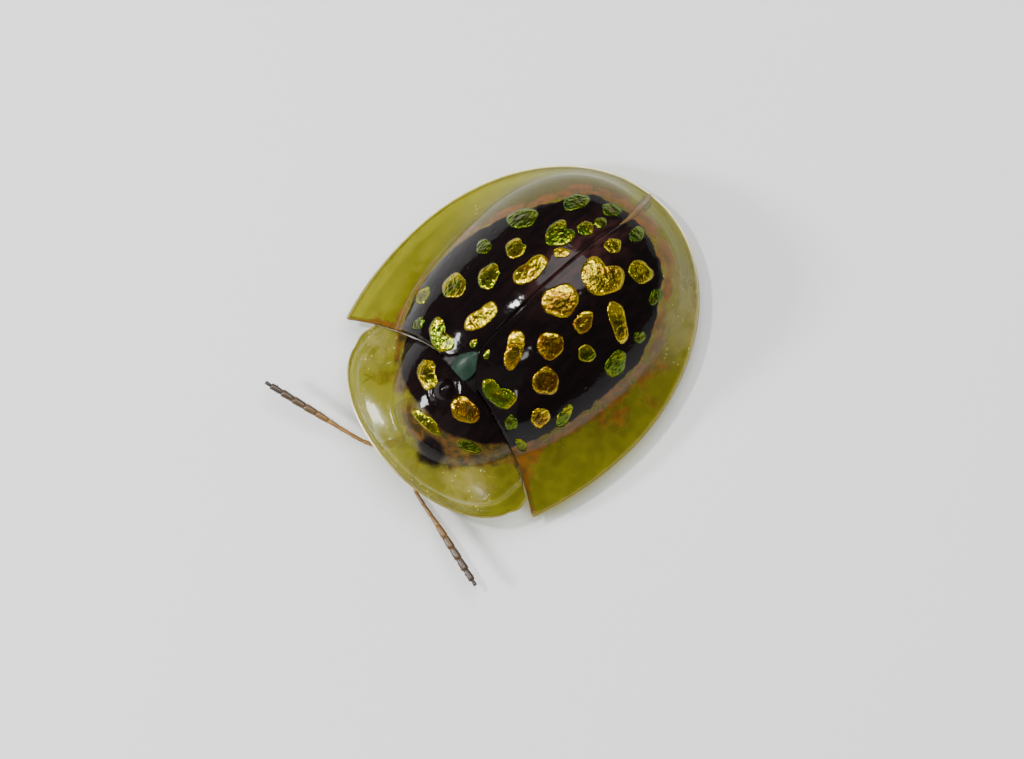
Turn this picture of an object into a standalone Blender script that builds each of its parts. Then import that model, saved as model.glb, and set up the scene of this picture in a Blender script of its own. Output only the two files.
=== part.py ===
"""A tortoise beetle at life size, standing still with both feelers out.

The head points towards -Y, the beetle's left side is +X, and the feet stand at z = 0.
Sizes are in millimetres. A place along the body is told as its distance behind the
shield's front edge, and spot() turns it into a point in metres.
"""

import math

import bmesh
import bpy
from mathutils import Vector

MM = 0.001
MERGE = 1e-7

# The whole body
LENGTH = 8.0  # from the shield's front edge to the wing covers' tip
MIDDLE = 3.55  # how far behind the shield's front edge the origin lies
JOINT_GAP = 0.2  # open joint between neighbouring parts
SHIELD_GAP = 0.38  # the same between shield and wing covers, whose edges lean

# Wing covers: the rim, seen from above
HALF_WIDTH = 3.34
WIDEST = 3.8
FRONT_REACH = 5.0
REAR_REACH = LENGTH - WIDEST
SHOULDER_ANGLE = math.radians(-28)
RIM_HEIGHT = 0.62
COVER_THICKNESS = 0.5

# Wing covers: the dome and the flared margin round it
DOME_HALF_WIDTH = 2.45
DOME_CENTRE = 4.8
DOME_FRONT_REACH = 3.8
DOME_REAR_REACH = 2.9
DOME_ROUNDNESS = 2.3
DOME_RISE = 1.8
DOME_POWER = 0.75
CREASE_RISE = 0.65
MARGIN_POWER = 1.2
MARGIN_SHARE = HALF_WIDTH / DOME_HALF_WIDTH

# Wing covers: the front edge and the seam
BASE_BEHIND = 2.5
BASE_CURVE = 0.12
NOTCH_DEPTH = 0.5
NOTCH_HALF_WIDTH = 0.55
SEAM_DRIFT = 0.4  # the seam ends this far to the right of the middle
DRIFT_START = 7.1
SHOULDER_BUMP = (1.5, 2.75)
SHOULDER_BUMP_RADIUS = 0.6
SHOULDER_BUMP_RISE = 0.12

# Wing covers: lines of the mesh
COVER_COLUMNS = 24
DOME_ROWS = 7
MARGIN_ROWS = 4
TIP_WIDTH = 0.4  # the last line across a wing cover lies along its rim
NEAREST_CREASE = 0.4  # the crease row stays between these shares of a line
FURTHEST_CREASE = 0.9

# Shield over the head
SHIELD_X = 0.1
SHIELD_HALF_WIDTH = 2.5
SHIELD_HALF_DEPTH = 1.37
SHIELD_CORNER = math.radians(78)
SHIELD_REAR_HALF_WIDTH = 2.48
SHIELD_EDGE_HEIGHT = 1.05
SHIELD_END_DROP = 0.1
SHIELD_SLOPE_RISE = 0.45
SHIELD_DOME_RISE = 0.85
SHIELD_DOME_HALF_WIDTH = 1.7
SHIELD_DOME_CENTRE = 2.6
SHIELD_DOME_REACH = 2.0
SHIELD_SLOPE_POWER = 0.9
SHIELD_DOME_POWER = 0.8
SHIELD_THICKNESS = 0.45
SHIELD_COLUMNS = 30
SHIELD_ROWS = 10
SHIELD_BOSS = (0.0, 1.95)
SHIELD_BOSS_RADIUS = 0.24
SHIELD_BOSS_RISE = 0.07

# Head: skull, upper lip, one jaw and one palp on each side
HEAD_CENTRE = (0.0, 1.15, 0.62)
HEAD_RADII = (0.48, 0.42, 0.36)
LIP_CENTRE = (0.0, 0.83, 0.46)
LIP_RADII = (0.25, 0.12, 0.13)
JAW_CENTRE = (0.13, 0.84, 0.3)
JAW_RADII = (0.12, 0.12, 0.1)
PALP_ROUTE = ((0.22, 0.98, 0.36), (0.29, 0.84, 0.24), (0.27, 0.7, 0.16))
PALP_RADII = (0.08, 0.07, 0.04)
EYE_CENTRE = (0.78, 1.15, 0.62)
EYE_RADII = (0.18, 0.24, 0.24)

# Trunk under the wing covers
BELLY_HEIGHT = 0.78
TRUNK_WAIST = 0.35  # the widest line of a section, as a share of its height
PROTHORAX_SECTIONS = (  # behind, half width, top and bottom
    (1.78, 0.6, 1.35, 0.7),
    (1.95, 0.82, 1.5, 0.78),
    (2.2, 0.95, 1.6, 0.78),
    (2.4, 0.9, 1.6, 0.78),
)
THORAX_FRONT = 2.62
THORAX_REAR = 4.7
THORAX_HALF_WIDTHS = (1.0, 1.62)
ABDOMEN_REAR = 6.95
ABDOMEN_HALF_WIDTH = 1.5
ABDOMEN_RISE = 0.35
BELLY_RINGS = 5
RING_STEP = 0.05

# Small triangular plate between the wing covers: x and behind of its corners
PLATE_CORNERS = ((-0.3, 2.42), (0.3, 2.42), (0.05, 2.8), (-0.05, 2.8))
PLATE_THICKNESS = 0.55

# Feelers: x, behind and height of the places each one passes
FEELER_ROUTES = {
    "left": ((0.22, 0.6, 0.42), (0.63, 0.05, 0.3), (1.75, -0.17, 0.42), (3.17, -0.43, 0.5)),
    "right": ((0.22, 0.6, 0.42), (0.6, 0.0, 0.3), (1.9, -0.41, 0.42), (3.17, -0.76, 0.55)),
}
FEELER_RADIUS = 0.21
FEELER_TIP_RADIUS = 0.15
FEELER_WAIST = 0.88

# Legs: x and behind of hip, knee, ankle and toe
LEG_PLACES = {
    "front": ((0.42, 2.0), (1.2, 1.65), (1.42, 1.3), (1.75, 0.95)),
    "middle": ((0.5, 3.35), (1.4, 3.15), (1.75, 3.05), (2.12, 2.95)),
    "hind": ((0.5, 4.45), (1.3, 5.05), (1.58, 5.4), (1.85, 5.75)),
}
HIP_HEIGHT = 0.46
KNEE_HEIGHT = 0.62
ANKLE_HEIGHT = 0.3
THIGH_RADIUS = 0.24
SHIN_RADIUS = 0.2
FOOT_HALF_WIDTH = 0.2
FOOT_HEIGHT = 0.3
CLAW_LENGTH = 0.26
CLAW_SPREAD = 0.4


def mix(start, end, share):
    """The value this share of the way from start to end."""
    return start + (end - start) * share


def spot(x, behind, z):
    """A point in metres, from millimetres across, behind the front edge and up."""
    return Vector((x, behind - MIDDLE, z)) * MM


def clear_scene():
    """Removes whatever the file starts with."""
    for item in list(bpy.data.objects):
        bpy.data.objects.remove(item, do_unlink=True)


def make_finish(name, colour, roughness):
    """A plain finish of one colour."""
    finish = bpy.data.materials.new(name)
    finish.use_nodes = True
    shader = finish.node_tree.nodes["Principled BSDF"]
    shader.inputs["Base Color"].default_value = (*colour, 1.0)
    shader.inputs["Roughness"].default_value = roughness
    return finish


def add_object(name, bm, finish, collection):
    """Turns a bmesh into a named object in the collection."""
    mesh = bpy.data.meshes.new(name)
    bm.to_mesh(mesh)
    bm.free()
    mesh.materials.append(finish)
    mesh.shade_smooth()
    item = bpy.data.objects.new(name, mesh)
    collection.objects.link(item)
    return item


def shell(name, columns, rows, surface, thickness, finish, collection):
    """A sheet laid on surface(u, v) and thickened downwards."""
    bm = bmesh.new()
    bmesh.ops.create_grid(bm, x_segments=columns, y_segments=rows, size=1)
    for vert in bm.verts:
        vert.co = surface((vert.co.x + 1) / 2, (vert.co.y + 1) / 2)
    bmesh.ops.remove_doubles(bm, verts=bm.verts, dist=MERGE)
    bmesh.ops.recalc_face_normals(bm, faces=bm.faces)
    if sum(face.normal.z for face in bm.faces) < 0:
        bmesh.ops.reverse_faces(bm, faces=bm.faces)
    item = add_object(name, bm, finish, collection)
    wall = item.modifiers.new("Thickness", "SOLIDIFY")
    wall.thickness = thickness * MM
    wall.offset = -1
    return item


def loft(name, rings, finish, collection):
    """A closed form through rings of equal size, with flat ends."""
    bm = bmesh.new()
    loops = [[bm.verts.new(point) for point in ring] for ring in rings]
    for lower, upper in zip(loops, loops[1:]):
        for i in range(len(lower)):
            j = (i + 1) % len(lower)
            bm.faces.new((lower[i], lower[j], upper[j], upper[i]))
    bm.faces.new(reversed(loops[0]))
    bm.faces.new(loops[-1])
    bmesh.ops.recalc_face_normals(bm, faces=bm.faces)
    return add_object(name, bm, finish, collection)


def ball(name, centre, radii, sides, finish, collection):
    """A rounded form with its own radius on each axis."""
    bm = bmesh.new()
    bmesh.ops.create_uvsphere(bm, u_segments=sides, v_segments=sides // 2, radius=1)
    for vert in bm.verts:
        offset = [radius * part for radius, part in zip(radii, vert.co)]
        vert.co = spot(*[place + step for place, step in zip(centre, offset)])
    return add_object(name, bm, finish, collection)


def join(name, pieces, finish, collection):
    """One closed body from overlapping closed pieces, which are then removed."""
    tools = bpy.data.collections.new(name + " pieces")
    bpy.context.scene.collection.children.link(tools)
    for piece in pieces[1:]:
        collection.objects.unlink(piece)
        tools.objects.link(piece)
    first = pieces[0]
    union = first.modifiers.new("Union", "BOOLEAN")
    union.operation = "UNION"
    union.operand_type = "COLLECTION"
    union.collection = tools
    union.solver = "EXACT"
    seen = first.evaluated_get(bpy.context.evaluated_depsgraph_get())
    bm = bmesh.new()
    bm.from_mesh(bpy.data.meshes.new_from_object(seen))
    keep_largest(bm)
    for piece in pieces:
        bpy.data.objects.remove(piece, do_unlink=True)
    bpy.data.collections.remove(tools)
    return add_object(name, bm, finish, collection)


def keep_largest(bm):
    """Leaves only the connected surface that has the most faces."""
    left = set(bm.faces)
    groups = []
    while left:
        waiting = [left.pop()]
        group = set(waiting)
        while waiting:
            face = waiting.pop()
            for edge in face.edges:
                for other in edge.link_faces:
                    if other in left:
                        left.remove(other)
                        group.add(other)
                        waiting.append(other)
        groups.append(group)
    groups.sort(key=len)
    loose = [face for group in groups[:-1] for face in group]
    bmesh.ops.delete(bm, geom=loose, context="FACES")


def round_ring(centre, ahead, radius, sides):
    """Points round a limb, square to the way it runs."""
    side = ahead.cross(Vector((0, 0, 1))).normalized()
    up = side.cross(ahead).normalized()
    turns = [2 * math.pi * i / sides for i in range(sides)]
    return [centre + (side * math.cos(t) + up * math.sin(t)) * radius for t in turns]


def limb(name, path, radii, sides, finish, collection):
    """A round limb along points in metres, with a radius in millimetres at each."""
    rings = []
    for i, (centre, radius) in enumerate(zip(path, radii)):
        ahead = path[min(i + 1, len(path) - 1)] - path[max(i - 1, 0)]
        rings.append(round_ring(centre, ahead, radius * MM, sides))
    return loft(name, rings, finish, collection)


def dome_level(x, behind):
    """0 at the dome's centre and 1 at the crease where the margin begins."""
    reach = DOME_FRONT_REACH if behind < DOME_CENTRE else DOME_REAR_REACH
    across = abs(x) / DOME_HALF_WIDTH
    along = abs(behind - DOME_CENTRE) / reach
    return (across**DOME_ROUNDNESS + along**DOME_ROUNDNESS) ** (1 / DOME_ROUNDNESS)


def rim_level(x, behind):
    """0 at the centre of the wing covers and 1 at their rim."""
    reach = FRONT_REACH if behind < WIDEST else REAR_REACH
    return math.hypot(x / HALF_WIDTH, (behind - WIDEST) / reach)


def bump(x, behind, centre, radius, rise):
    """A soft round swelling that rises from nothing at its radius."""
    away = math.hypot(x - centre[0], behind - centre[1]) / radius
    return rise * (1 - away**2) ** 2 if away < 1 else 0.0


def cover_height(x, behind):
    """Height of the wing covers' upper surface."""
    level = dome_level(x, behind)
    if level < 1:
        dome = DOME_RISE * (1 - level**2) ** DOME_POWER
        shoulder = bump(
            abs(x), behind, SHOULDER_BUMP, SHOULDER_BUMP_RADIUS, SHOULDER_BUMP_RISE
        )
        return RIM_HEIGHT + CREASE_RISE + dome + shoulder
    outside = level - 1
    inside = max(1 - rim_level(x, behind), 0) * MARGIN_SHARE
    share = outside / (outside + inside) if outside + inside > 0 else 0
    return RIM_HEIGHT + CREASE_RISE * (1 - share) ** MARGIN_POWER


def base_edge(x):
    """How far back the wing covers' front edge lies, without the notch."""
    return BASE_BEHIND - BASE_CURVE * x**2


def notched_edge(x):
    """The front edge with its notch for the small triangular plate."""
    start = JOINT_GAP / 2
    share = (abs(x) - start) / (NOTCH_HALF_WIDTH - start)
    return base_edge(x) + NOTCH_DEPTH * max(1 - max(share, 0), 0)


def seam_x(behind):
    """The seam runs straight and then bends a little to the right."""
    share = max(behind - DRIFT_START, 0) / (LENGTH - DRIFT_START)
    return -SEAM_DRIFT * share**2


def rim_point(side, angle):
    """Across and behind, on the wing covers' rim."""
    reach = FRONT_REACH if angle < 0 else REAR_REACH
    x = side * HALF_WIDTH * math.cos(angle)
    return x, WIDEST + reach * math.sin(angle)


def tip_x(side):
    """How far across the seam's edge of one wing cover ends."""
    return -SEAM_DRIFT + side * JOINT_GAP / 2


def seam_point(side, share):
    """Across and behind, on one wing cover's edge of the seam."""
    end = WIDEST + REAR_REACH * math.sqrt(1 - (tip_x(side) / HALF_WIDTH) ** 2)
    behind = mix(notched_edge(0), end, share)
    return seam_x(behind) + side * JOINT_GAP / 2, behind


def crease_share(start, end):
    """How far from start to end the dome's crease is crossed."""
    low, high = 0.0, 1.0
    for _ in range(30):
        middle = (low + high) / 2
        x = mix(start[0], end[0], middle)
        behind = mix(start[1], end[1], middle)
        if dome_level(x, behind) < 1:
            low = middle
        else:
            high = middle
    return min(max(low, NEAREST_CREASE), FURTHEST_CREASE)


def cover_line(side, u):
    """Seam point and rim point of one line across a wing cover."""
    tip_angle = math.acos(side * tip_x(side) / HALF_WIDTH + TIP_WIDTH / HALF_WIDTH)
    rim = rim_point(side, mix(SHOULDER_ANGLE, tip_angle, u))
    first = math.sin(SHOULDER_ANGLE)
    share = (math.sin(mix(SHOULDER_ANGLE, math.pi / 2, u)) - first) / (1 - first)
    return seam_point(side, share), rim


def cover_surface(side):
    """The upper surface of one wing cover as a function of u and v."""
    crease_row = DOME_ROWS / (DOME_ROWS + MARGIN_ROWS)
    first_seam, first_rim = cover_line(side, 0)

    def surface(u, v):
        seam, rim = cover_line(side, u)
        crease = crease_share(seam, rim)
        if v < crease_row:
            share = crease * v / crease_row
        else:
            share = mix(crease, 1, (v - crease_row) / (1 - crease_row))
        x = mix(seam[0], rim[0], share)
        behind = mix(seam[1], rim[1], share)
        front_x = mix(first_seam[0], first_rim[0], share)
        front_straight = mix(first_seam[1], first_rim[1], share)
        behind += (notched_edge(front_x) - front_straight) * (1 - u) ** 4
        return spot(x, behind, cover_height(x, behind))

    return surface


def shield_height(x, behind):
    """Height of the shield's upper surface."""
    across = (x - SHIELD_X) / SHIELD_HALF_WIDTH
    ahead = max(SHIELD_HALF_DEPTH - behind, 0) / SHIELD_HALF_DEPTH
    slope = max(1 - across**2 - ahead**2, 0) ** SHIELD_SLOPE_POWER
    level = math.hypot(
        (x - SHIELD_X) / SHIELD_DOME_HALF_WIDTH,
        (behind - SHIELD_DOME_CENTRE) / SHIELD_DOME_REACH,
    )
    dome = max(1 - level**2, 0) ** SHIELD_DOME_POWER
    edge = SHIELD_EDGE_HEIGHT - SHIELD_END_DROP * across**2
    boss = bump(x, behind, SHIELD_BOSS, SHIELD_BOSS_RADIUS, SHIELD_BOSS_RISE)
    return edge + SHIELD_SLOPE_RISE * slope + SHIELD_DOME_RISE * dome + boss


def shield_surface(u, v):
    """The shield's upper surface, from its front edge to its base."""
    angle = mix(-SHIELD_CORNER, SHIELD_CORNER, u)
    front_x = SHIELD_X + SHIELD_HALF_WIDTH * math.sin(angle)
    front = SHIELD_HALF_DEPTH * (1 - math.cos(angle))
    across = math.sin(angle) / math.sin(SHIELD_CORNER)
    rear_x = SHIELD_X + SHIELD_REAR_HALF_WIDTH * across
    x = mix(front_x, rear_x, v)
    behind = mix(front, base_edge(rear_x) - SHIELD_GAP, v)
    return spot(x, behind, shield_height(x, behind))


def trunk_ring(behind, half_width, top, bottom, sides=20):
    """A section of the trunk: domed above and flatter below."""
    waist = mix(bottom, top, TRUNK_WAIST)
    ring = []
    for i in range(sides):
        angle = 2 * math.pi * i / sides
        across, up = math.cos(angle), math.sin(angle)
        height = (top - waist) * up if up > 0 else (waist - bottom) * up
        ring.append(spot(half_width * across, behind, waist + height))
    return ring


def trunk(name, sections, finish, collection):
    """A length of the trunk through sections of behind, half width, top and bottom."""
    return loft(name, [trunk_ring(*section) for section in sections], finish, collection)


def thorax_sections():
    """Sections of the part that carries the wing covers and four legs."""
    steps = 5
    sections = []
    for i in range(steps + 1):
        share = i / steps
        behind = mix(THORAX_FRONT, THORAX_REAR, share)
        top = cover_height(0, behind) - COVER_THICKNESS - 1.6 * JOINT_GAP
        half_width = mix(*THORAX_HALF_WIDTHS, math.sin(math.pi / 2 * share))
        sections.append((behind, half_width, top, BELLY_HEIGHT))
    return sections


def abdomen_sections():
    """Belly rings, each a step narrower than the one ahead of it."""
    sections = []
    for ring in range(BELLY_RINGS):
        for edge in (0.0, 0.85):
            share = (ring + edge) / BELLY_RINGS
            behind = mix(THORAX_REAR + JOINT_GAP, ABDOMEN_REAR, share)
            taper = math.sqrt(1 - (0.93 * share) ** 2.2)
            step = RING_STEP * edge
            top = cover_height(0, behind) - COVER_THICKNESS - 2.5 * JOINT_GAP
            half_width = ABDOMEN_HALF_WIDTH * taper + step
            bottom = BELLY_HEIGHT + ABDOMEN_RISE * share**2 - step
            sections.append((behind, half_width, mix(bottom, top, taper), bottom))
    return sections


def plate(finish, collection):
    """The small triangular plate between the wing covers' bases."""
    rings = []
    for drop in (PLATE_THICKNESS, 0.0):
        rings.append([spot(x, b, cover_height(x, b) - drop) for x, b in PLATE_CORNERS])
    return loft("scutellum", rings, finish, collection)


def bend(points, steps):
    """Points in metres on a smooth curve through the given places."""
    places = [Vector(point) for point in points]
    ends = [2 * places[0] - places[1], *places, 2 * places[-1] - places[-2]]
    curve = []
    for i in range(len(places) - 1):
        a, b, c, d = ends[i : i + 4]
        for step in range(steps):
            t = step / steps
            curve.append(
                0.5
                * (
                    2 * b
                    + (c - a) * t
                    + (2 * a - 5 * b + 4 * c - d) * t**2
                    + (3 * b - a - 3 * c + d) * t**3
                )
            )
    curve.append(places[-1])
    return [spot(*point) for point in curve]


def feeler(side, finish, collection):
    """One feeler: segments that swell towards their far ends."""
    sign = 1 if side == "left" else -1
    route = [(sign * x, behind, z) for x, behind, z in FEELER_ROUTES[side]]
    path = bend(route, 8)
    last = len(path) - 1
    radii = []
    for i in range(len(path)):
        swell = 1.0 if i % 2 else FEELER_WAIST
        radii.append(swell * mix(FEELER_RADIUS, FEELER_TIP_RADIUS, i / last))
    radii[0] *= 0.8
    radii[-1] *= 0.6
    return limb(f"antenna_{side}", path, radii, 8, finish, collection)


def head(finish, collection):
    """The skull with its upper lip, jaws and palps, joined into one body."""
    pieces = [ball("skull", HEAD_CENTRE, HEAD_RADII, 18, finish, collection)]
    pieces.append(ball("lip", LIP_CENTRE, LIP_RADII, 12, finish, collection))
    for sign in (1, -1):
        jaw_place = (sign * JAW_CENTRE[0], *JAW_CENTRE[1:])
        pieces.append(ball("jaw", jaw_place, JAW_RADII, 10, finish, collection))
        route = [spot(sign * x, behind, z) for x, behind, z in PALP_ROUTE]
        pieces.append(limb("palp", route, PALP_RADII, 6, finish, collection))
    return join("head", pieces, finish, collection)


def foot(name, ankle, toe, finish, collection):
    """The flat-soled foot in three lobes, narrower at the toe."""
    ahead = (toe - ankle).normalized()
    side = ahead.cross(Vector((0, 0, 1)))
    rings = []
    for share in (0.0, 0.15, 0.3, 0.36, 0.5, 0.62, 0.68, 0.85, 1.0):
        lobe = 0.8 + 0.2 * math.sin(3 * math.pi * share) ** 2
        width = FOOT_HALF_WIDTH * lobe * mix(1, 0.7, share) * MM
        height = FOOT_HEIGHT * mix(1, 0.6, share) * MM
        centre = ankle.lerp(toe, share)
        ring = []
        for i in range(8):
            angle = math.pi * (2 * i + 1) / 8
            rise = 0 if math.sin(angle) < -0.5 else (math.sin(angle) + 0.5) / 1.42
            point = centre + side * width * math.cos(angle)
            ring.append(Vector((point.x, point.y, height * rise)))
        rings.append(ring)
    return loft(name, rings, finish, collection)


def claws(name, ankle, toe, finish, collection):
    """Two short hooks that spread from the toe and come down to the floor."""
    ahead = (toe - ankle).normalized()
    side = ahead.cross(Vector((0, 0, 1)))
    root = toe - ahead * 0.08 * MM
    pair = []
    for sign in (1, -1):
        out = ahead + side * sign * CLAW_SPREAD
        path = [
            Vector((*(root + out * reach * CLAW_LENGTH * MM).xy, height * MM))
            for reach, height in ((0, 0.1), (0.6, 0.12), (1, 0.05))
        ]
        pair.append(limb(name, path, (0.06, 0.05, 0.025), 5, finish, collection))
    return pair


def leg(pair, side, finish, collection):
    """One leg from hip to toe, joined into one body."""
    sign = 1 if side == "left" else -1
    hip, knee, ankle, toe = [(sign * x, behind) for x, behind in LEG_PLACES[pair]]
    hip_point = spot(*hip, HIP_HEIGHT)
    knee_point = spot(*knee, KNEE_HEIGHT)
    ankle_point = spot(*ankle, ANKLE_HEIGHT)
    thigh_path = [hip_point.lerp(knee_point, share) for share in (0, 0.2, 0.5, 0.8, 1)]
    thigh_radii = [THIGH_RADIUS * size for size in (0.75, 0.95, 1.0, 0.9, 0.7)]
    shin_path = [knee_point.lerp(ankle_point, share) for share in (-0.15, 0.1, 0.6, 1)]
    shin_radii = [SHIN_RADIUS * size for size in (0.8, 1.0, 0.95, 0.85)]
    name = f"leg_{pair}_{side}"
    pieces = [
        limb(name + " thigh", thigh_path, thigh_radii, 10, finish, collection),
        limb(name + " shin", shin_path, shin_radii, 8, finish, collection),
        foot(name + " foot", spot(*ankle, 0), spot(*toe, 0), finish, collection),
        *claws(name + " claw", spot(*ankle, 0), spot(*toe, 0), finish, collection),
    ]
    return join(name, pieces, finish, collection)


def build_beetle():
    """Every part of the beetle, in one collection."""
    beetle = bpy.data.collections.new("tortoise beetle")
    bpy.context.scene.collection.children.link(beetle)
    dark = make_finish("dark shell", (0.012, 0.008, 0.008), 0.15)
    clear = make_finish("amber margin", (0.35, 0.3, 0.05), 0.2)
    amber = make_finish("amber leg", (0.4, 0.18, 0.04), 0.35)
    belly = make_finish("brown belly", (0.1, 0.045, 0.02), 0.35)
    eye = make_finish("black eye", (0.006, 0.006, 0.006), 0.1)

    shell(
        "pronotum",
        SHIELD_COLUMNS,
        SHIELD_ROWS,
        shield_surface,
        SHIELD_THICKNESS,
        clear,
        beetle,
    )
    for side, sign in (("left", 1), ("right", -1)):
        shell(
            f"elytron_{side}",
            COVER_COLUMNS,
            DOME_ROWS + MARGIN_ROWS,
            cover_surface(sign),
            COVER_THICKNESS,
            dark,
            beetle,
        )
        eye_place = (sign * EYE_CENTRE[0], *EYE_CENTRE[1:])
        ball(f"eye_{side}", eye_place, EYE_RADII, 12, eye, beetle)
        feeler(side, amber, beetle)
        for pair in LEG_PLACES:
            leg(pair, side, amber, beetle)
    plate(dark, beetle)
    head(belly, beetle)
    trunk("prothorax", PROTHORAX_SECTIONS, belly, beetle)
    trunk("thorax", thorax_sections(), belly, beetle)
    trunk("abdomen", abdomen_sections(), belly, beetle)


clear_scene()
build_beetle()
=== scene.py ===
"""A tortoise beetle dressed for the studio, at life size and standing still.

The head points towards -Y, the beetle's left side is +X, and the feet stand at z = 0.
Sizes are in millimetres. A place along the body is told as its distance behind the
shield's front edge, and place() turns it into a point in metres.
"""

from __future__ import annotations

import logging
import math
from collections.abc import Callable, Iterable, Sequence
from dataclasses import dataclass, field
from enum import Enum

import bmesh
import bpy
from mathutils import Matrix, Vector


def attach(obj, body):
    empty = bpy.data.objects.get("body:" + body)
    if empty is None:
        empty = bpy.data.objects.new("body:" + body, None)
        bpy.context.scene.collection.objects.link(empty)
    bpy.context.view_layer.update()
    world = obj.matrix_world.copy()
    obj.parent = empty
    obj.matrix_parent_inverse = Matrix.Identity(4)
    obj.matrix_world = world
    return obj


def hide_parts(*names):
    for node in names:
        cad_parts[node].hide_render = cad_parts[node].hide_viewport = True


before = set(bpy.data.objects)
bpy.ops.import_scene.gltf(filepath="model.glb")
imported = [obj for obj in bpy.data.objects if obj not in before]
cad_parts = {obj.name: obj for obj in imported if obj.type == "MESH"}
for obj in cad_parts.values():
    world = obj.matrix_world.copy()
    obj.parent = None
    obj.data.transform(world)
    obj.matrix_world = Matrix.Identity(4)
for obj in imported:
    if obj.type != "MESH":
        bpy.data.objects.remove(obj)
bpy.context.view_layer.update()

log = logging.getLogger("tortoise beetle")

MM = 0.001
MIDDLE = 3.55  # how far behind the shield's front edge the origin lies
LENGTH = 8.0  # from the shield's front edge to the wing covers' tip
# LIGHT_WAY is the side where painted highlights go on the metal spots and on the rim beads.
LIGHT_WAY = (-0.72, 0.69)  # across and behind, the way that bright metal and rims face

Colour = tuple[float, float, float]
Place = tuple[float, float, float]
PlanPlace = tuple[float, float]
Rule = Callable[[float, float], float]
Surface = Callable[[float, float], Vector]
Rings = Sequence[Sequence[Vector]]
Marks = dict[str, Sequence[object]]
Settings = dict[str, object]
Inputs = dict[str | int, object]
Piece = bpy.types.Object
Material = bpy.types.Material
Node = bpy.types.Node
Socket = bpy.types.NodeSocket


class Side(Enum):
    """A side of the beetle, with the way that it lies along X."""

    LEFT = 1
    RIGHT = -1

    @property
    def label(self) -> str:
        """The side's name as used in piece names."""
        return self.name.lower()


class SpotShape(Enum):
    """The outlines that the metallic spots have."""

    OVAL = "oval"
    WAIST = "waist"
    HEART = "heart"
    CRESCENT = "crescent"


def mix(start: float, end: float, share: float) -> float:
    """The value this share of the way from start to end."""
    return start + (end - start) * share


def clamp(value: float, low: float = 0.0, high: float = 1.0) -> float:
    """The value, kept between low and high."""
    return min(max(value, low), high)


def place(x: float, behind: float, z: float) -> Vector:
    """A point in metres, from millimetres across, behind the front edge and up."""
    return Vector((x, behind - MIDDLE, z)) * MM


def flip(spot: Place, side: Side) -> Place:
    """A place on this side of the beetle, from the one on the left side."""
    return (side.value * spot[0], spot[1], spot[2])


def bell(value: float, centre: float, width: float) -> float:
    """1 at the centre of a soft rise, falling away on both sides over its width."""
    return math.exp(-(((value - centre) / width) ** 2))


def circle(sides: int) -> list[tuple[float, float]]:
    """The cosine and sine of evenly spaced turns round a circle."""
    turns = [2 * math.pi * i / sides for i in range(sides)]
    return [(math.cos(turn), math.sin(turn)) for turn in turns]


def shares(steps: int) -> list[float]:
    """The shares of the way from 0 to 1 in this many even steps."""
    return [k / steps for k in range(steps + 1)]


def shade(colour: Colour, share: float) -> Colour:
    """The colour with each of its parts at this share."""
    return tuple(part * share for part in colour)


@dataclass(frozen=True)
class Patch:
    """A soft round patch: where its middle lies, its radius, and how strong it is there."""

    across: float
    behind: float
    radius: float
    strength: float = 1.0

    def at(self, x: float, behind: float) -> float:
        """How strong the patch is at a place, fading to 0 at its radius."""
        away = math.hypot(x - self.across, behind - self.behind) / self.radius
        return self.strength * (1 - away**2) ** 2 if away < 1 else 0.0


def bend(places: Sequence[Place], steps: int) -> list[Vector]:
    """A smooth curve through the given places.

    Args:
        places: Across, behind and up of the places that the curve passes, in millimetres.
        steps: How many pieces each stretch between two places is cut into.

    Returns:
        The points of the curve, in metres.
    """
    knots = [Vector(item) for item in places]
    ends = [2 * knots[0] - knots[1], *knots, 2 * knots[-1] - knots[-2]]
    curve = []
    for i in range(len(knots) - 1):
        a, b, c, d = ends[i : i + 4]
        for step in range(steps):
            t = step / steps
            slope = (c - a) * t + (2 * a - 5 * b + 4 * c - d) * t**2
            curve.append(0.5 * (2 * b + slope + (3 * b - a - 3 * c + d) * t**3))
    curve.append(knots[-1])
    return [place(*point) for point in curve]


# Meshes


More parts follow.
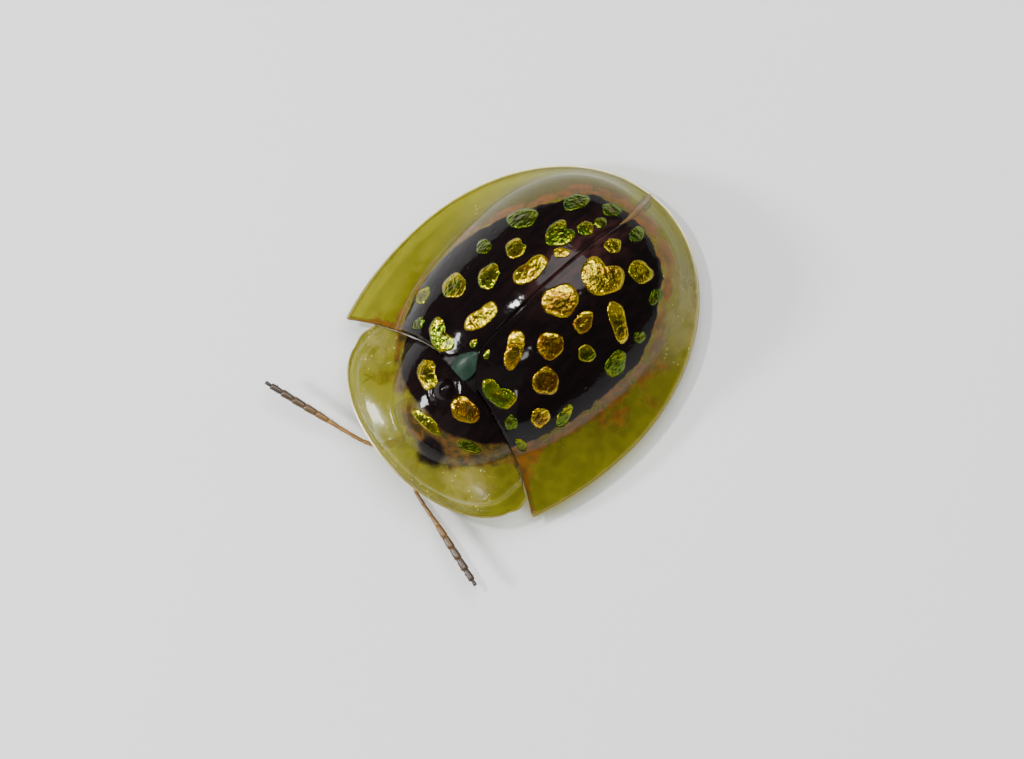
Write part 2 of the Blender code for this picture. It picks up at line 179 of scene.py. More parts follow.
@dataclass
class Form:
    """Points, faces and named numbers at each point, gathered for one mesh."""

    points: list[Vector] = field(default_factory=list)
    faces: list[tuple[int, ...]] = field(default_factory=list)
    marks: dict[str, list[float]] = field(default_factory=dict)

    def add(
        self, points: Sequence[Vector], faces: Iterable[tuple[int, ...]], marks: Marks | None = None
    ) -> None:
        """Adds points and the faces between them.

        Args:
            points: The new points, in metres.
            faces: Faces whose numbers count from the first new point.
            marks: For each name, one number for each new point.
        """
        start = len(self.points)
        self.points.extend(points)
        self.faces.extend(tuple(start + i for i in face) for face in faces)
        for name, values in (marks or {}).items():
            self.marks.setdefault(name, []).extend(values)

    def add_loft(self, rings: Rings, marks: Marks | None = None) -> None:
        """Adds a closed form through rings of equal size, with a pole at each end.

        Args:
            rings: The rings' points, in metres.
            marks: For each name, one number for each ring, or one list for each ring.
        """
        sides = len(rings[0])
        points = [point for ring in rings for point in ring]
        poles = [sum(ring, Vector()) / sides for ring in (rings[0], rings[-1])]
        faces = []
        for k in range(len(rings) - 1):
            for i in range(sides):
                j = (i + 1) % sides
                low, high = k * sides, (k + 1) * sides
                faces.append((low + i, low + j, high + j, high + i))
        first_pole, last_pole, last_ring = len(points), len(points) + 1, len(points) - sides
        for i in range(sides):
            j = (i + 1) % sides
            faces.append((first_pole, j, i))
            faces.append((last_pole, last_ring + i, last_ring + j))
        numbers = {}
        for name, values in (marks or {}).items():
            rows = [value if isinstance(value, list) else [value] * sides for value in values]
            ends = [sum(row) / sides for row in (rows[0], rows[-1])]
            numbers[name] = [value for row in rows for value in row] + ends
        self.add([*points, *poles], faces, numbers)

    def add_ball(
        self, centre: Place, radii: Place, sides: int, marks: dict[str, float] | None = None
    ) -> None:
        """Adds a rounded closed form.

        Args:
            centre: Across, behind and up of its middle, in millimetres.
            radii: Its radius along X, Y and Z, in millimetres.
            sides: How many faces go round it.
            marks: For each name, the number that all its points get.
        """
        rings = []
        count = sides // 2
        for k in range(1, count):
            tilt = math.pi * k / count
            ring = []
            for across, up in circle(sides):
                offset = (
                    radii[0] * math.sin(tilt) * across,
                    radii[1] * math.cos(tilt),
                    radii[2] * math.sin(tilt) * up,
                )
                ring.append(place(*[a + b for a, b in zip(centre, offset)]))
            rings.append(ring)
        numbers = {name: [value] * len(rings) for name, value in (marks or {}).items()}
        self.add_loft(rings, numbers)
        poles = (centre[1] + radii[1], centre[1] - radii[1])
        for number, behind in zip((-2, -1), poles):
            self.points[number] = place(centre[0], behind, centre[2])

    def build(self, name: str, finish: Material, upward: bool = False) -> Piece:
        """Turns the form into an object whose faces point outwards.

        Args:
            name: The object's name.
            finish: Its material.
            upward: True for an open sheet, whose faces point up.

        Returns:
            The new object.
        """
        mesh = bpy.data.meshes.new(name)
        mesh.from_pydata(self.points, [], self.faces)
        for mark, values in self.marks.items():
            mesh.attributes.new(mark, "FLOAT", "POINT").data.foreach_set("value", values)
        bm = bmesh.new()
        bm.from_mesh(mesh)
        bmesh.ops.recalc_face_normals(bm, faces=bm.faces)
        if upward and sum(face.normal.z for face in bm.faces) < 0:
            bmesh.ops.reverse_faces(bm, faces=bm.faces)
        bm.to_mesh(mesh)
        bm.free()
        mesh.materials.append(finish)
        mesh.shade_smooth()
        piece = bpy.data.objects.new(name, mesh)
        bpy.context.scene.collection.objects.link(piece)
        return piece


def limb_rings(path: Sequence[Vector], radii: Sequence[float], sides: int, flat: float = 1.0) -> Rings:
    """Rings along a path, each square to it.

    Args:
        path: The limb's points, in metres.
        radii: The radius at each point, in millimetres.
        sides: How many points each ring has.
        flat: The limb's height as a share of its width.

    Returns:
        One ring for each point of the path.
    """
    rings = []
    for i, (centre, radius) in enumerate(zip(path, radii)):
        ahead = path[min(i + 1, len(path) - 1)] - path[max(i - 1, 0)]
        side = ahead.cross(Vector((0, 0, 1))).normalized()
        up = side.cross(ahead).normalized() * flat
        rings.append([centre + (side * x + up * y) * radius * MM for x, y in circle(sides)])
    return rings


def turned_rings(profile: Sequence[tuple[float, float]], sides: int) -> Rings:
    """Rings round the Z axis, each given by its height and its radius."""
    way = circle(sides)
    return [[Vector((x * radius, y * radius, height)) for x, y in way] for height, radius in profile]


def lofted(name: str, finish: Material, rings: Rings, marks: Marks | None = None) -> Piece:
    """Builds a piece that is one closed form through rings.

    Args:
        name: The piece's name.
        finish: Its material.
        rings: The rings' points.
        marks: For each name, one number for each ring.

    Returns:
        The piece.
    """
    form = Form()
    form.add_loft(rings, marks)
    return form.build(name, finish)


def laid_sheet(
    name: str,
    finish: Material,
    size: tuple[int, int],
    surface: Surface,
    thickness: float,
    marks: dict[str, Rule] | None = None,
) -> Piece:
    """Builds a thin piece laid on a surface, with its wall below it.

    Args:
        name: The piece's name.
        finish: Its material.
        size: How many faces lie along u and along v.
        surface: The point at u and v, both from 0 to 1.
        thickness: How thick the wall is, in millimetres.
        marks: For each name, the number at u and v.

    Returns:
        The piece.
    """
    columns, rows = size
    step = rows + 1
    places = [(i / columns, j / rows) for i in range(columns + 1) for j in range(step)]
    corners = [i * step + j for i in range(columns) for j in range(rows)]
    form = Form()
    form.add(
        [surface(u, v) for u, v in places],
        [(first, first + step, first + step + 1, first + 1) for first in corners],
        {mark: [rule(u, v) for u, v in places] for mark, rule in (marks or {}).items()},
    )
    piece = form.build(name, finish, upward=True)
    wall = piece.modifiers.new("Thickness", "SOLIDIFY")
    wall.thickness = thickness * MM
    wall.offset = -1
    wall.use_even_offset = False
    return piece


def hand_in(piece: Piece, slot: str, *nodes: str) -> None:
    """Lets a piece ride on the body, and reports it.

    Args:
        piece: The finished piece.
        slot: The record's material slot; not used.
        *nodes: The solids that it stands for.
    """
    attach(piece, "root")
    if nodes:
        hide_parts(*nodes)
    log.info("%s: %d faces", piece.name, len(piece.data.polygons))


# Nodes


class NodeMaker:
    """Adds nodes to a tree and joins their sockets."""

    def __init__(self, tree: bpy.types.NodeTree) -> None:
        """Keeps the tree that the nodes go into."""
        self.tree = tree

    def feed(self, node: Node, name: str | int, value: object) -> None:
        """Sets one input of a node.

        Args:
            node: The node.
            name: The input's name or number.
            value: A Value or socket to link, or a plain value to set.
        """
        if isinstance(value, Value):
            value = value.socket
        if isinstance(value, Socket):
            self.tree.links.new(value, node.inputs[name])
        elif isinstance(value, tuple) and node.inputs[name].type == "RGBA":
            node.inputs[name].default_value = (*value, 1.0)
        else:
            node.inputs[name].default_value = value

    def node(self, kind: str, settings: Settings | None = None, inputs: Inputs | None = None) -> Node:
        """Adds one node.

        Args:
            kind: The node's type.
            settings: Its settings, set first. "stops" holds a ramp's places and colours.
            inputs: For each input, a value or what it is linked to.

        Returns:
            The new node.
        """
        node = self.tree.nodes.new(kind)
        for name, value in (settings or {}).items():
            if name == "stops":
                self.fill_ramp(node, value)
            else:
                setattr(node, name, value)
        for name, value in (inputs or {}).items():
            self.feed(node, name, value)
        return node

    def value(
        self, output: str | int, kind: str, settings: Settings | None = None, inputs: Inputs | None = None
    ) -> Value:
        """Adds one node and gives one of its outputs as a Value."""
        return Value(self, self.node(kind, settings, inputs).outputs[output])

    def fill_ramp(self, node: Node, stops: Sequence[tuple[float, Colour]]) -> None:
        """Gives a colour ramp its stops.

        Args:
            node: The ramp's node.
            stops: The place and colour of each stop, from the first to the last.
        """
        elements = node.color_ramp.elements
        while len(elements) < len(stops):
            elements.new(0.5)
        for element, (position, colour) in zip(elements, stops):
            element.position = position
            element.color = (*colour, 1.0)


class Value:
    """A socket that gives a number, for writing maths as plain expressions."""

    def __init__(self, maker: NodeMaker, socket: Socket) -> None:
        """Keeps the socket and the maker of the tree that its maths goes into."""
        self.maker = maker
        self.socket = socket

    def maths(self, operation: str, first: object, second: object) -> Value:
        """The result of a Math node on two numbers, sockets or Values."""
        return self.maker.value(0, "ShaderNodeMath", {"operation": operation}, {0: first, 1: second})

    def __add__(self, other: object) -> Value:
        """This value plus another."""
        return self.maths("ADD", self, other)

    def __sub__(self, other: object) -> Value:
        """This value less another."""
        return self.maths("SUBTRACT", self, other)

    def __rsub__(self, other: object) -> Value:
        """Another value less this one."""
        return self.maths("SUBTRACT", other, self)

    def __mul__(self, other: object) -> Value:
        """This value times another."""
        return self.maths("MULTIPLY", self, other)

    def __gt__(self, other: object) -> Value:
        """1 where this value is above another, and 0 elsewhere."""
        return self.maths("GREATER_THAN", self, other)

    def most(self, other: object) -> Value:
        """The larger of this value and another."""
        return self.maths("MAXIMUM", self, other)

    __radd__ = __add__
    __rmul__ = __mul__


class Shading(NodeMaker):
    """A material's nodes."""

    def __init__(self, name: str) -> None:
        """Starts a material with an empty tree.

        Args:
            name: The material's name.
        """
        self.material = bpy.data.materials.new(name)
        self.material.use_nodes = True
        super().__init__(self.material.node_tree)
        self.tree.nodes.clear()
        self.place = self.node("ShaderNodeTexCoord").outputs["Object"]

    def mark(self, name: str) -> Value:
        """The number that the mesh carries under this name."""
        return self.value("Fac", "ShaderNodeAttribute", {"attribute_name": name})

    def noise(self, size: float, detail: float = 2.0, stretch: Place = (1.0, 1.0, 1.0)) -> Value:
        """Soft noise on the object's own coordinates.

        Args:
            size: How long one lump is, in millimetres.
            detail: How many finer layers lie on it.
            stretch: How much the noise is squeezed along X, Y and Z.

        Returns:
            The noise, from about 0.2 to 0.8.
        """
        scaled = self.node("ShaderNodeMapping", inputs={"Vector": self.place, "Scale": stretch})
        inputs = {"Vector": scaled.outputs[0], "Scale": 1 / (size * MM), "Detail": detail}
        return self.value("Fac", "ShaderNodeTexNoise", inputs=inputs)

    def cells(self, size: float) -> Value:
        """How far a place lies from the nearest of many dots scattered this far apart."""
        inputs = {"Vector": self.place, "Scale": 1 / (size * MM)}
        return self.value("Distance", "ShaderNodeTexVoronoi", {"feature": "F1"}, inputs)

    def step(self, value: Value, low: float, high: float) -> Value:
        """A soft step on a value.

        Args:
            value: The value.
            low: Where the step starts. It may be above high, for a step down.
            high: Where it ends.

        Returns:
            0 before the step and 1 after it.
        """
        start, end = min(low, high), max(low, high)
        inputs = {"Value": value, "From Min": start, "From Max": end}
        inputs["To Min"], inputs["To Max"] = (0.0, 1.0) if low < high else (1.0, 0.0)
        return self.value("Result", "ShaderNodeMapRange", {"interpolation_type": "SMOOTHSTEP"}, inputs)

    def blend(self, share: object, first: object, second: object) -> Socket:
        """Two colours mixed.

        Args:
            share: How much of the second shows.
            first: A colour or the socket of one.
            second: A colour or the socket of one.

        Returns:
            The mixed colour's socket.
        """
        settings = {"data_type": "RGBA"}
        node = self.node("ShaderNodeMix", settings, {0: share, 6: first, 7: second})
        return node.outputs[2]

    def ramp(self, value: Value, stops: Sequence[tuple[float, Colour]]) -> Socket:
        """A colour looked up on a ramp of stops."""
        node = self.node("ShaderNodeValToRGB", {"stops": stops}, {"Fac": value})
        return node.outputs["Color"]

    def bump(self, height: Value, depth: float) -> Socket:
        """A normal for a surface that is uneven by this many millimetres."""
        inputs = {"Height": height, "Distance": depth * MM, "Strength": 1.0}
        return self.node("ShaderNodeBump", inputs=inputs).outputs["Normal"]

    def surface(self, **inputs: object) -> Socket:
        """A surface shader, with its inputs named in words joined by low lines."""
        named = {name.replace("_", " "): value for name, value in inputs.items()}
        return self.node("ShaderNodeBsdfPrincipled", inputs=named).outputs[0]

    def close(self, surface: Socket) -> Material:
        """Links the surface to the output and returns the material."""
        self.node("ShaderNodeOutputMaterial", inputs={"Surface": surface})
        return self.material


class Grower(NodeMaker):
    """A geometry nodes tree that works on one object's mesh."""

    def __init__(self, name: str) -> None:
        """Starts a tree with a mesh going in and a mesh coming out.

        Args:
            name: The tree's name.
        """
        super().__init__(bpy.data.node_groups.new(name, "GeometryNodeTree"))
        self.interface = self.tree.interface
        for way in ("INPUT", "OUTPUT"):
            self.interface.new_socket("Geometry", in_out=way, socket_type="NodeSocketGeometry")
        self.entry = self.node("NodeGroupInput")
        self.values: dict[str, object] = {}

    def named_input(self, name: str, kind: str, value: object) -> Value:
        """Adds a named input to the tree.

        Args:
            name: The input's name.
            kind: Its socket type without the word NodeSocket.
            value: What it is set to on the modifier.

        Returns:
            The input's value inside the tree.
        """
        item = self.interface.new_socket(name, in_out="INPUT", socket_type=f"NodeSocket{kind}")
        self.values[item.identifier] = value
        return Value(self, self.entry.outputs[name])

    def mark(self, name: str) -> Value:
        """The number that the mesh's points carry under this name."""
        return self.value(0, "GeometryNodeInputNamedAttribute", {"data_type": "FLOAT"}, {"Name": name})

    def join(self, *parts: Value) -> Value:
        """Three numbers as one vector."""
        return self.value(0, "ShaderNodeCombineXYZ", inputs=dict(enumerate(parts)))

    def copies(self, points: Socket, pattern: Piece, ahead: Value, size: Value, finish: Material) -> None:
        """Sets a copy of a shape on each point, as the tree's result.

        Args:
            points: The points.
            pattern: The shape, which runs along Z.
            ahead: The way that each copy points.
            size: Each copy's width, depth and length.
            finish: The copies' material.
        """
        shape = self.named_input("Shape", "Object", pattern)
        material = self.named_input("Finish", "Material", finish)
        source = self.node("GeometryNodeObjectInfo", inputs={"Object": shape})
        turned = self.node("FunctionNodeAlignRotationToVector", {"axis": "Z"}, {"Vector": ahead})
        inputs = {"Points": points, "Instance": source.outputs["Geometry"]}
        inputs |= {"Rotation": turned.outputs[0], "Scale": size}
        placed = self.node("GeometryNodeInstanceOnPoints", inputs=inputs)
        real = self.node("GeometryNodeRealizeInstances", inputs={0: placed.outputs[0]})
        dressed = self.node("GeometryNodeSetMaterial", inputs={0: real.outputs[0], "Material": material})
        self.node("NodeGroupOutput", inputs={0: dressed.outputs[0]})

    def run(self, piece: Piece) -> Piece:
        """Puts the tree on a piece and turns the result into its mesh.

        Args:
            piece: The object that the tree works on.

        Returns:
            The same object with its finished mesh.
        """
        modifier = piece.modifiers.new(self.tree.name, "NODES")
        modifier.node_group = self.tree
        for identifier, value in self.values.items():
            modifier[identifier] = value
        piece.update_tag()
        seen = piece.evaluated_get(bpy.context.evaluated_depsgraph_get())
        mesh = bpy.data.meshes.new_from_object(seen)
        mesh.name = piece.name
        mesh.shade_smooth()
        piece.modifiers.clear()
        piece.data = mesh
        return piece


# Finishes


@dataclass(frozen=True)
class ShellFinish:
    """Glossy black shell that turns into a clear amber margin, with rust-red patches.

    It reads six numbers from the mesh: "black" is 1 well inside the black field and 0
    outside it, "warm" is how much faint maroon tint and painted maroon sheen the black gets,
    "rust" is how rusty the place may be, "smoke" is how much painted shade darkens the clear
    part, "pale" is how milky, and "edge" is 1 on the rim, which a painted highlight lightens.
    """

    name: str
    black: Colour = (0.0018, 0.0013, 0.0015)
    # Faint maroon tint of the black, and the colour of the painted maroon sheen beside the seam.
    maroon: Colour = (0.032, 0.012, 0.011)
    amber: Colour = (0.18, 0.162, 0.012)
    rust: Colour = (0.155, 0.05, 0.005)
    dusky: Colour = (0.075, 0.038, 0.005)
    milk: Colour = (0.33, 0.27, 0.09)
    # Colour of the painted shade on the dome's foot.
    haze: Colour = (0.05, 0.04, 0.008)
    # Colour of the painted glints in the punctures.
    fleck: Colour = (0.9, 0.78, 0.3)
    # Colour of the painted highlight along the rim.
    rim: Colour = (0.8, 0.66, 0.2)
    film: Colour = (0.68, 0.69, 0.18)
    olive_share: float = 0.66
    net_share: float = 1.5
    see_through: float = 0.55
    coat: float = 0.03
    softness: float = 0.06
    raggedness: float = 0.7
    patchiness: float = 1.7
    stain_size: float = 1.3
    net_size: float = 0.21
    cloud_size: float = 0.35
    fleck_size: float = 0.1
    wear_size: float = 0.18
    patch_size: float = 0.4
    ripple_size: float = 0.3
    dimple_size: float = 0.34
    ripple_depth: float = 0.012

    def clear_colour(self, shading: Shading, rust: Value, smoke: Value, pale: Value, edge: Value) -> Socket:
        """The margin's colour.

        Args:
            shading: The material's nodes.
            rust: 1 where the margin is rusty.
            smoke: 1 where painted shade darkens it.
            pale: 1 where it is milky.
            edge: 1 on the rim, where a painted highlight lightens it.

        Returns:
            The colour's socket.
        """
        stain = shading.step(shading.noise(self.stain_size), 0.35, 0.65)
        amber = shading.blend(stain, self.amber, shade(self.amber, self.olive_share))
        net = shading.step(shading.cells(self.net_size), 0.35, 0.75) * 0.3
        netted = shading.blend(net, amber, shade(self.amber, self.net_share))
        cloud = pale * shading.step(shading.noise(self.cloud_size, 3.0), 0.3, 0.6)
        milky = shading.blend(cloud * 0.6, netted, self.milk)
        # Painted glints: tiny gold dots on the milky parts, for light caught in the punctures.
        dots = shading.step(shading.cells(self.fleck_size), 0.2, 0.1)
        glints = dots * shading.step(pale, 0.02, 0.3) * shading.step(shading.noise(0.3), 0.48, 0.6)
        glinted = shading.blend(glints, milky, self.fleck)
        # Painted shade on the dome's foot.
        shaded_clear = shading.blend(smoke * 0.85, glinted, self.haze)
        worn = shading.step(shading.noise(self.wear_size, 3.0), 0.32, 0.68)
        rusty = shading.blend(worn, self.rust, self.dusky)
        # A painted highlight lightens the rim.
        return shading.blend(edge * 0.25, shading.blend(rust * 0.92, shaded_clear, rusty), self.rim)

    def make(self) -> Material:
        """Builds the material.

        Returns:
            The finished material.
        """
        shading = Shading(self.name)
        ragged = shading.mark("black") + (shading.noise(0.3, 3.0) - 0.5) * self.raggedness
        black = shading.step(ragged, 0.5 - self.softness, 0.5 + self.softness)
        patches = shading.noise(self.patch_size, 4.0) + (shading.noise(1.6, 1.0) - 0.5) * 0.6
        rust = shading.step(shading.mark("rust") + (patches - 0.5) * self.patchiness, 0.42, 0.9)
        edge = shading.step(shading.mark("edge"), 0.55, 0.95)
        # Painted shade on the dome's foot, which also lets less of the floor show through.
        smoke = shading.step(shading.mark("smoke") + (patches - 0.5) * 0.6, 0.1, 0.9)
        pale = shading.mark("pale")

        dimples = shading.step(shading.cells(self.dimple_size), 0.0, 0.2)
        ripples = shading.noise(self.ripple_size, 2.0) * 0.7 + dimples * 0.3
        normal = shading.bump(ripples, self.ripple_depth)
        # Painted maroon sheen in streaky bands beside the seam, over a faint maroon tint all over.
        sheen_streaks = shading.step(shading.noise(0.25, 3.0, (1.6, 0.5, 1.0)), 0.35, 0.65)
        warmth = shading.mark("warm") * (sheen_streaks * 0.75 + 0.25)
        dark = shading.surface(
            Base_Color=shading.blend(warmth, self.black, self.maroon),
            Roughness=0.08,
            Normal=normal,
            Specular_IOR_Level=0.12,
        )
        clear = shading.surface(
            Base_Color=self.clear_colour(shading, rust, smoke, pale, edge),
            Roughness=0.2,
            Normal=normal,
            Specular_IOR_Level=0.22,
            Coat_Weight=self.coat,
            Coat_Roughness=0.06,
        )
        film = shading.node("ShaderNodeBsdfTransparent", inputs={"Color": self.film}).outputs[0]
        filled = (1 - rust * 0.8) * (1 - edge * 0.6) * (1 - pale * 0.5) * (1 - smoke * 0.5)
        open_share = filled * self.see_through
        margin = shading.node("ShaderNodeMixShader", inputs={0: open_share, 1: clear, 2: film})
        both = shading.node("ShaderNodeMixShader", inputs={0: black, 1: margin.outputs[0], 2: dark})
        return shading.close(both.outputs[0])


@dataclass(frozen=True)
class GoldFinish:
    """Polished metal under clear lacquer, from leaf green through gold to copper.

    It reads three numbers from the mesh: "tone" picks the colour, "edge" is 1 at the spot's
    outline, which gets a painted highlight, and "sunny" is 1 on the side that faces the key
    light, which gets painted glints while dents away from it get painted shade.
    """

    stops: tuple[tuple[float, Colour], ...] = (
        (0.0, (0.035, 0.075, 0.006)),
        (0.3, (0.1, 0.15, 0.002)),
        (0.65, (0.34, 0.245, 0.0)),
        (0.85, (0.28, 0.13, 0.0)),
        (1.0, (0.16, 0.07, 0.004)),
    )
    # Colours of the painted highlight and of the painted shade in the dents away from the light.
    bright: Colour = (0.62, 0.45, 0.0)
    deep: Colour = (0.055, 0.045, 0.004)
    drift_size: float = 0.3
    drift: float = 0.9
    glow_size: float = 0.14
    hollow_size: float = 0.17
    rim_size: float = 0.22
    foil_size: float = 0.11
    foil_depth: float = 0.045

    def make(self) -> Material:
        """Builds the material.

        Returns:
            The finished material.
        """
        shading = Shading("gold spot")
        tone = shading.mark("tone")
        edge = shading.mark("edge")
        drifted = tone + (shading.noise(self.drift_size, 2.0) - 0.5) * self.drift
        body = shading.ramp(drifted, self.stops)
        # Painted light: the side of each spot that faces the key light is painted lighter, and dents on the
        # far side darker.
        sunny = shading.mark("sunny") + (shading.noise(self.glow_size, 2.0) - 0.5) * 0.7
        dents = shading.step(shading.noise(self.hollow_size, 3.0), 0.4, 0.55)
        hollow_shade = dents * shading.step(edge, 0.8, 0.5) * shading.step(sunny, 0.9, 0.5)
        shaded = shading.blend(hollow_shade * 0.85, body, self.deep)
        # Painted glints on the sunny side, and a painted highlight on broken stretches of the outline.
        spark = shading.step(sunny, 0.72, 0.82) * shading.step(edge, 0.95, 0.8)
        breaks = shading.step(shading.noise(self.rim_size, 2.0), 0.44, 0.6)
        rim = shading.step(edge, 0.7, 0.86) * breaks
        share = (rim * 0.7).most(spark * 0.8) * shading.step(tone, 0.02, 0.6)
        surface = shading.surface(
            Base_Color=shading.blend(share, shaded, self.bright),
            Metallic=0.95,
            Roughness=shading.noise(0.2, 2.0) * 0.25 + 0.06,
            Normal=shading.bump(shading.noise(self.foil_size, 2.0), self.foil_depth),
            Coat_Weight=0.04,
            Coat_Roughness=0.04,
        )
        return shading.close(surface)


@dataclass(frozen=True)
class HornFinish:
    """Satin horn with soft mottling, for legs, feelers, belly and mouth parts.

    Where the mesh carries the number "dusk", the colour turns to the dark one. Mostly this is a
    part's own darker tone; on the rim beads the light colour is a painted highlight and the dark
    one painted shade.
    """

    name: str
    light: Colour
    dark: Colour
    roughness: float = 0.34
    lump: float = 0.12
    depth: float = 0.006
    gloss: float = 0.35
    coat: float = 0.1

    def make(self) -> Material:
        """Builds the material.

        Returns:
            The finished material.
        """
        shading = Shading(self.name)
        mottled = shading.step(shading.noise(self.lump * 2.5, 3.0), 0.35, 0.7) * 0.45
        share = shading.mark("dusk").most(mottled)
        colour = shading.blend(share, self.light, self.dark)
        surface = shading.surface(
            Base_Color=colour,
            Roughness=shading.noise(self.lump, 2.0) * 0.2 + (self.roughness - 0.1),
            Normal=shading.bump(shading.noise(self.lump, 3.0), self.depth),
            Specular_IOR_Level=self.gloss,
            Coat_Weight=self.coat,
            Coat_Roughness=0.15,
        )
        return shading.close(surface)


@dataclass(frozen=True)
class FloorFinish:
    """Plain pale studio floor."""

    pale: Colour = (0.74, 0.745, 0.74)

    def make(self) -> Material:
        """Builds the material.

        Returns:
            The finished material.
        """
        shading = Shading("pale floor")
        colour = shading.blend(shading.noise(9.0, 2.0), self.pale, shade(self.pale, 0.97))
        return shading.close(shading.surface(Base_Color=colour, Roughness=0.75))


# Wing covers


@dataclass(frozen=True)
class CoverForm:
    """The wing covers' shape: a dome with a flared margin round it."""

    half_width: float = 3.34
    widest: float = 3.8
    front_reach: float = 5.0
    shoulder_angle: float = math.radians(-28)
    rim_height: float = 0.62
    dome_half_width: float = 2.45
    dome_centre: float = 4.8
    dome_front_reach: float = 3.8
    dome_rear_reach: float = 2.9
    dome_roundness: float = 2.3
    dome_rise: float = 1.8
    dome_power: float = 0.75
    crease_rise: float = 0.65
    margin_power: float = 1.2
    base_behind: float = 2.5
    base_curve: float = 0.12
    notch_depth: float = 0.5
    notch_half_width: float = 0.42
    seam_gap: float = 0.02
    seam_drift: float = 0.4
    drift_start: float = 7.1
    tip_width: float = 0.4
    shoulder: Patch = Patch(1.5, 2.75, 0.6, 0.12)
    notch_fade: int = 4

    @property
    def rear_reach(self) -> float:
        """How far the rim reaches behind its widest place."""
        return LENGTH - self.widest

    def dome_level(self, x: float, behind: float) -> float:
        """How far out on the dome a place lies.

        Args:
            x: Millimetres across.
            behind: Millimetres behind the shield's front edge.

        Returns:
            0 at the dome's centre and 1 at the crease where the margin begins.
        """
        reach = self.dome_front_reach if behind < self.dome_centre else self.dome_rear_reach
        across = abs(x) / self.dome_half_width
        along = abs(behind - self.dome_centre) / reach
        power = self.dome_roundness
        return (across**power + along**power) ** (1 / power)

    def rim_level(self, x: float, behind: float) -> float:
        """0 at the centre of the wing covers and 1 at their rim."""
        reach = self.front_reach if behind < self.widest else self.rear_reach
        return math.hypot(x / self.half_width, (behind - self.widest) / reach)

    def height(self, x: float, behind: float) -> float:
        """Height of the upper surface.

        Args:
            x: Millimetres across.
            behind: Millimetres behind the shield's front edge.

        Returns:
            The height in millimetres.
        """
        level = self.dome_level(x, behind)
        if level < 1:
            dome = self.dome_rise * (1 - level**2) ** self.dome_power
            return self.rim_height + self.crease_rise + dome + self.shoulder.at(abs(x), behind)
        outside = level - 1
        inside = max(1 - self.rim_level(x, behind), 0) * self.half_width / self.dome_half_width
        share = outside / (outside + inside) if outside + inside > 0 else 0
        return self.rim_height + self.crease_rise * (1 - share) ** self.margin_power

    def base_edge(self, x: float) -> float:
        """How far back the front edge lies, without the notch."""
        return self.base_behind - self.base_curve * x**2

    def notched_edge(self, x: float) -> float:
        """The front edge with its notch for the small triangular plate."""
        share = (abs(x) - self.seam_gap / 2) / (self.notch_half_width - self.seam_gap / 2)
        return self.base_edge(x) + self.notch_depth * clamp(1 - max(share, 0))

    def seam_x(self, behind: float) -> float:
        """The seam runs straight and then bends a little to the right."""
        share = max(behind - self.drift_start, 0) / (LENGTH - self.drift_start)
        return -self.seam_drift * share**2

    def line(self, side: Side, u: float) -> tuple[PlanPlace, PlanPlace]:
        """One line across a wing cover.

        Args:
            side: Which wing cover.
            u: 0 for the front line and 1 for the one at the tip.

        Returns:
            Across and behind of the line's ends, on the seam and on the rim.
        """
        sign = side.value
        tip_x = -self.seam_drift + sign * self.seam_gap / 2
        tip_angle = math.acos((sign * tip_x + self.tip_width) / self.half_width)
        angle = mix(self.shoulder_angle, tip_angle, u)
        reach = self.front_reach if angle < 0 else self.rear_reach
        rim = (sign * self.half_width * math.cos(angle), self.widest + reach * math.sin(angle))
        first = math.sin(self.shoulder_angle)
        share = (math.sin(mix(self.shoulder_angle, math.pi / 2, u)) - first) / (1 - first)
        end = self.widest + self.rear_reach * math.sqrt(1 - (tip_x / self.half_width) ** 2)
        behind = mix(self.notched_edge(0), end, share)
        return (self.seam_x(behind) + sign * self.seam_gap / 2, behind), rim

    def spot_at(self, side: Side, u: float, v: float) -> PlanPlace:
        """Across and behind of a place on one wing cover.

        Args:
            side: Which wing cover.
            u: 0 at the front edge and 1 at the tip.
            v: 0 at the seam and 1 at the rim.

        Returns:
            Across and behind, in millimetres.
        """
        seam, rim = self.line(side, u)
        front_seam, front_rim = self.line(side, 0)
        x = mix(seam[0], rim[0], v)
        front_x = mix(front_seam[0], front_rim[0], v)
        front = mix(front_seam[1], front_rim[1], v)
        pull = (self.notched_edge(front_x) - front) * (1 - u) ** self.notch_fade
        return x, mix(seam[1], rim[1], v) + pull


@dataclass(frozen=True)
class Spot:
    """One metallic spot: where it lies, its half sizes, and how it looks."""

    across: float
    behind: float
    long: float
    wide: float
    turn: float
    tone: float
    shape: SpotShape = SpotShape.OVAL

    def outline(self, turn: float) -> float:
        """How far the outline stands out, as a share of the oval.

        Args:
            turn: The direction, in radians from the spot's tail end.

        Returns:
            The share.
        """
        wave = 0.05 * math.sin(3 * turn + 7 * self.across) + 0.035 * math.sin(5 * turn + 5 * self.behind)
        away = abs((turn + math.pi) % (2 * math.pi) - math.pi)
        if self.shape is SpotShape.WAIST:
            return 1 + wave - 0.24 * math.sin(turn) ** 4
        if self.shape is SpotShape.HEART:
            return 1.05 + wave - 0.42 * bell(away, 0, 0.5)
        if self.shape is SpotShape.CRESCENT:
            return 1.1 + wave - 0.9 * bell(away, 0, 0.8)
        return 1 + wave


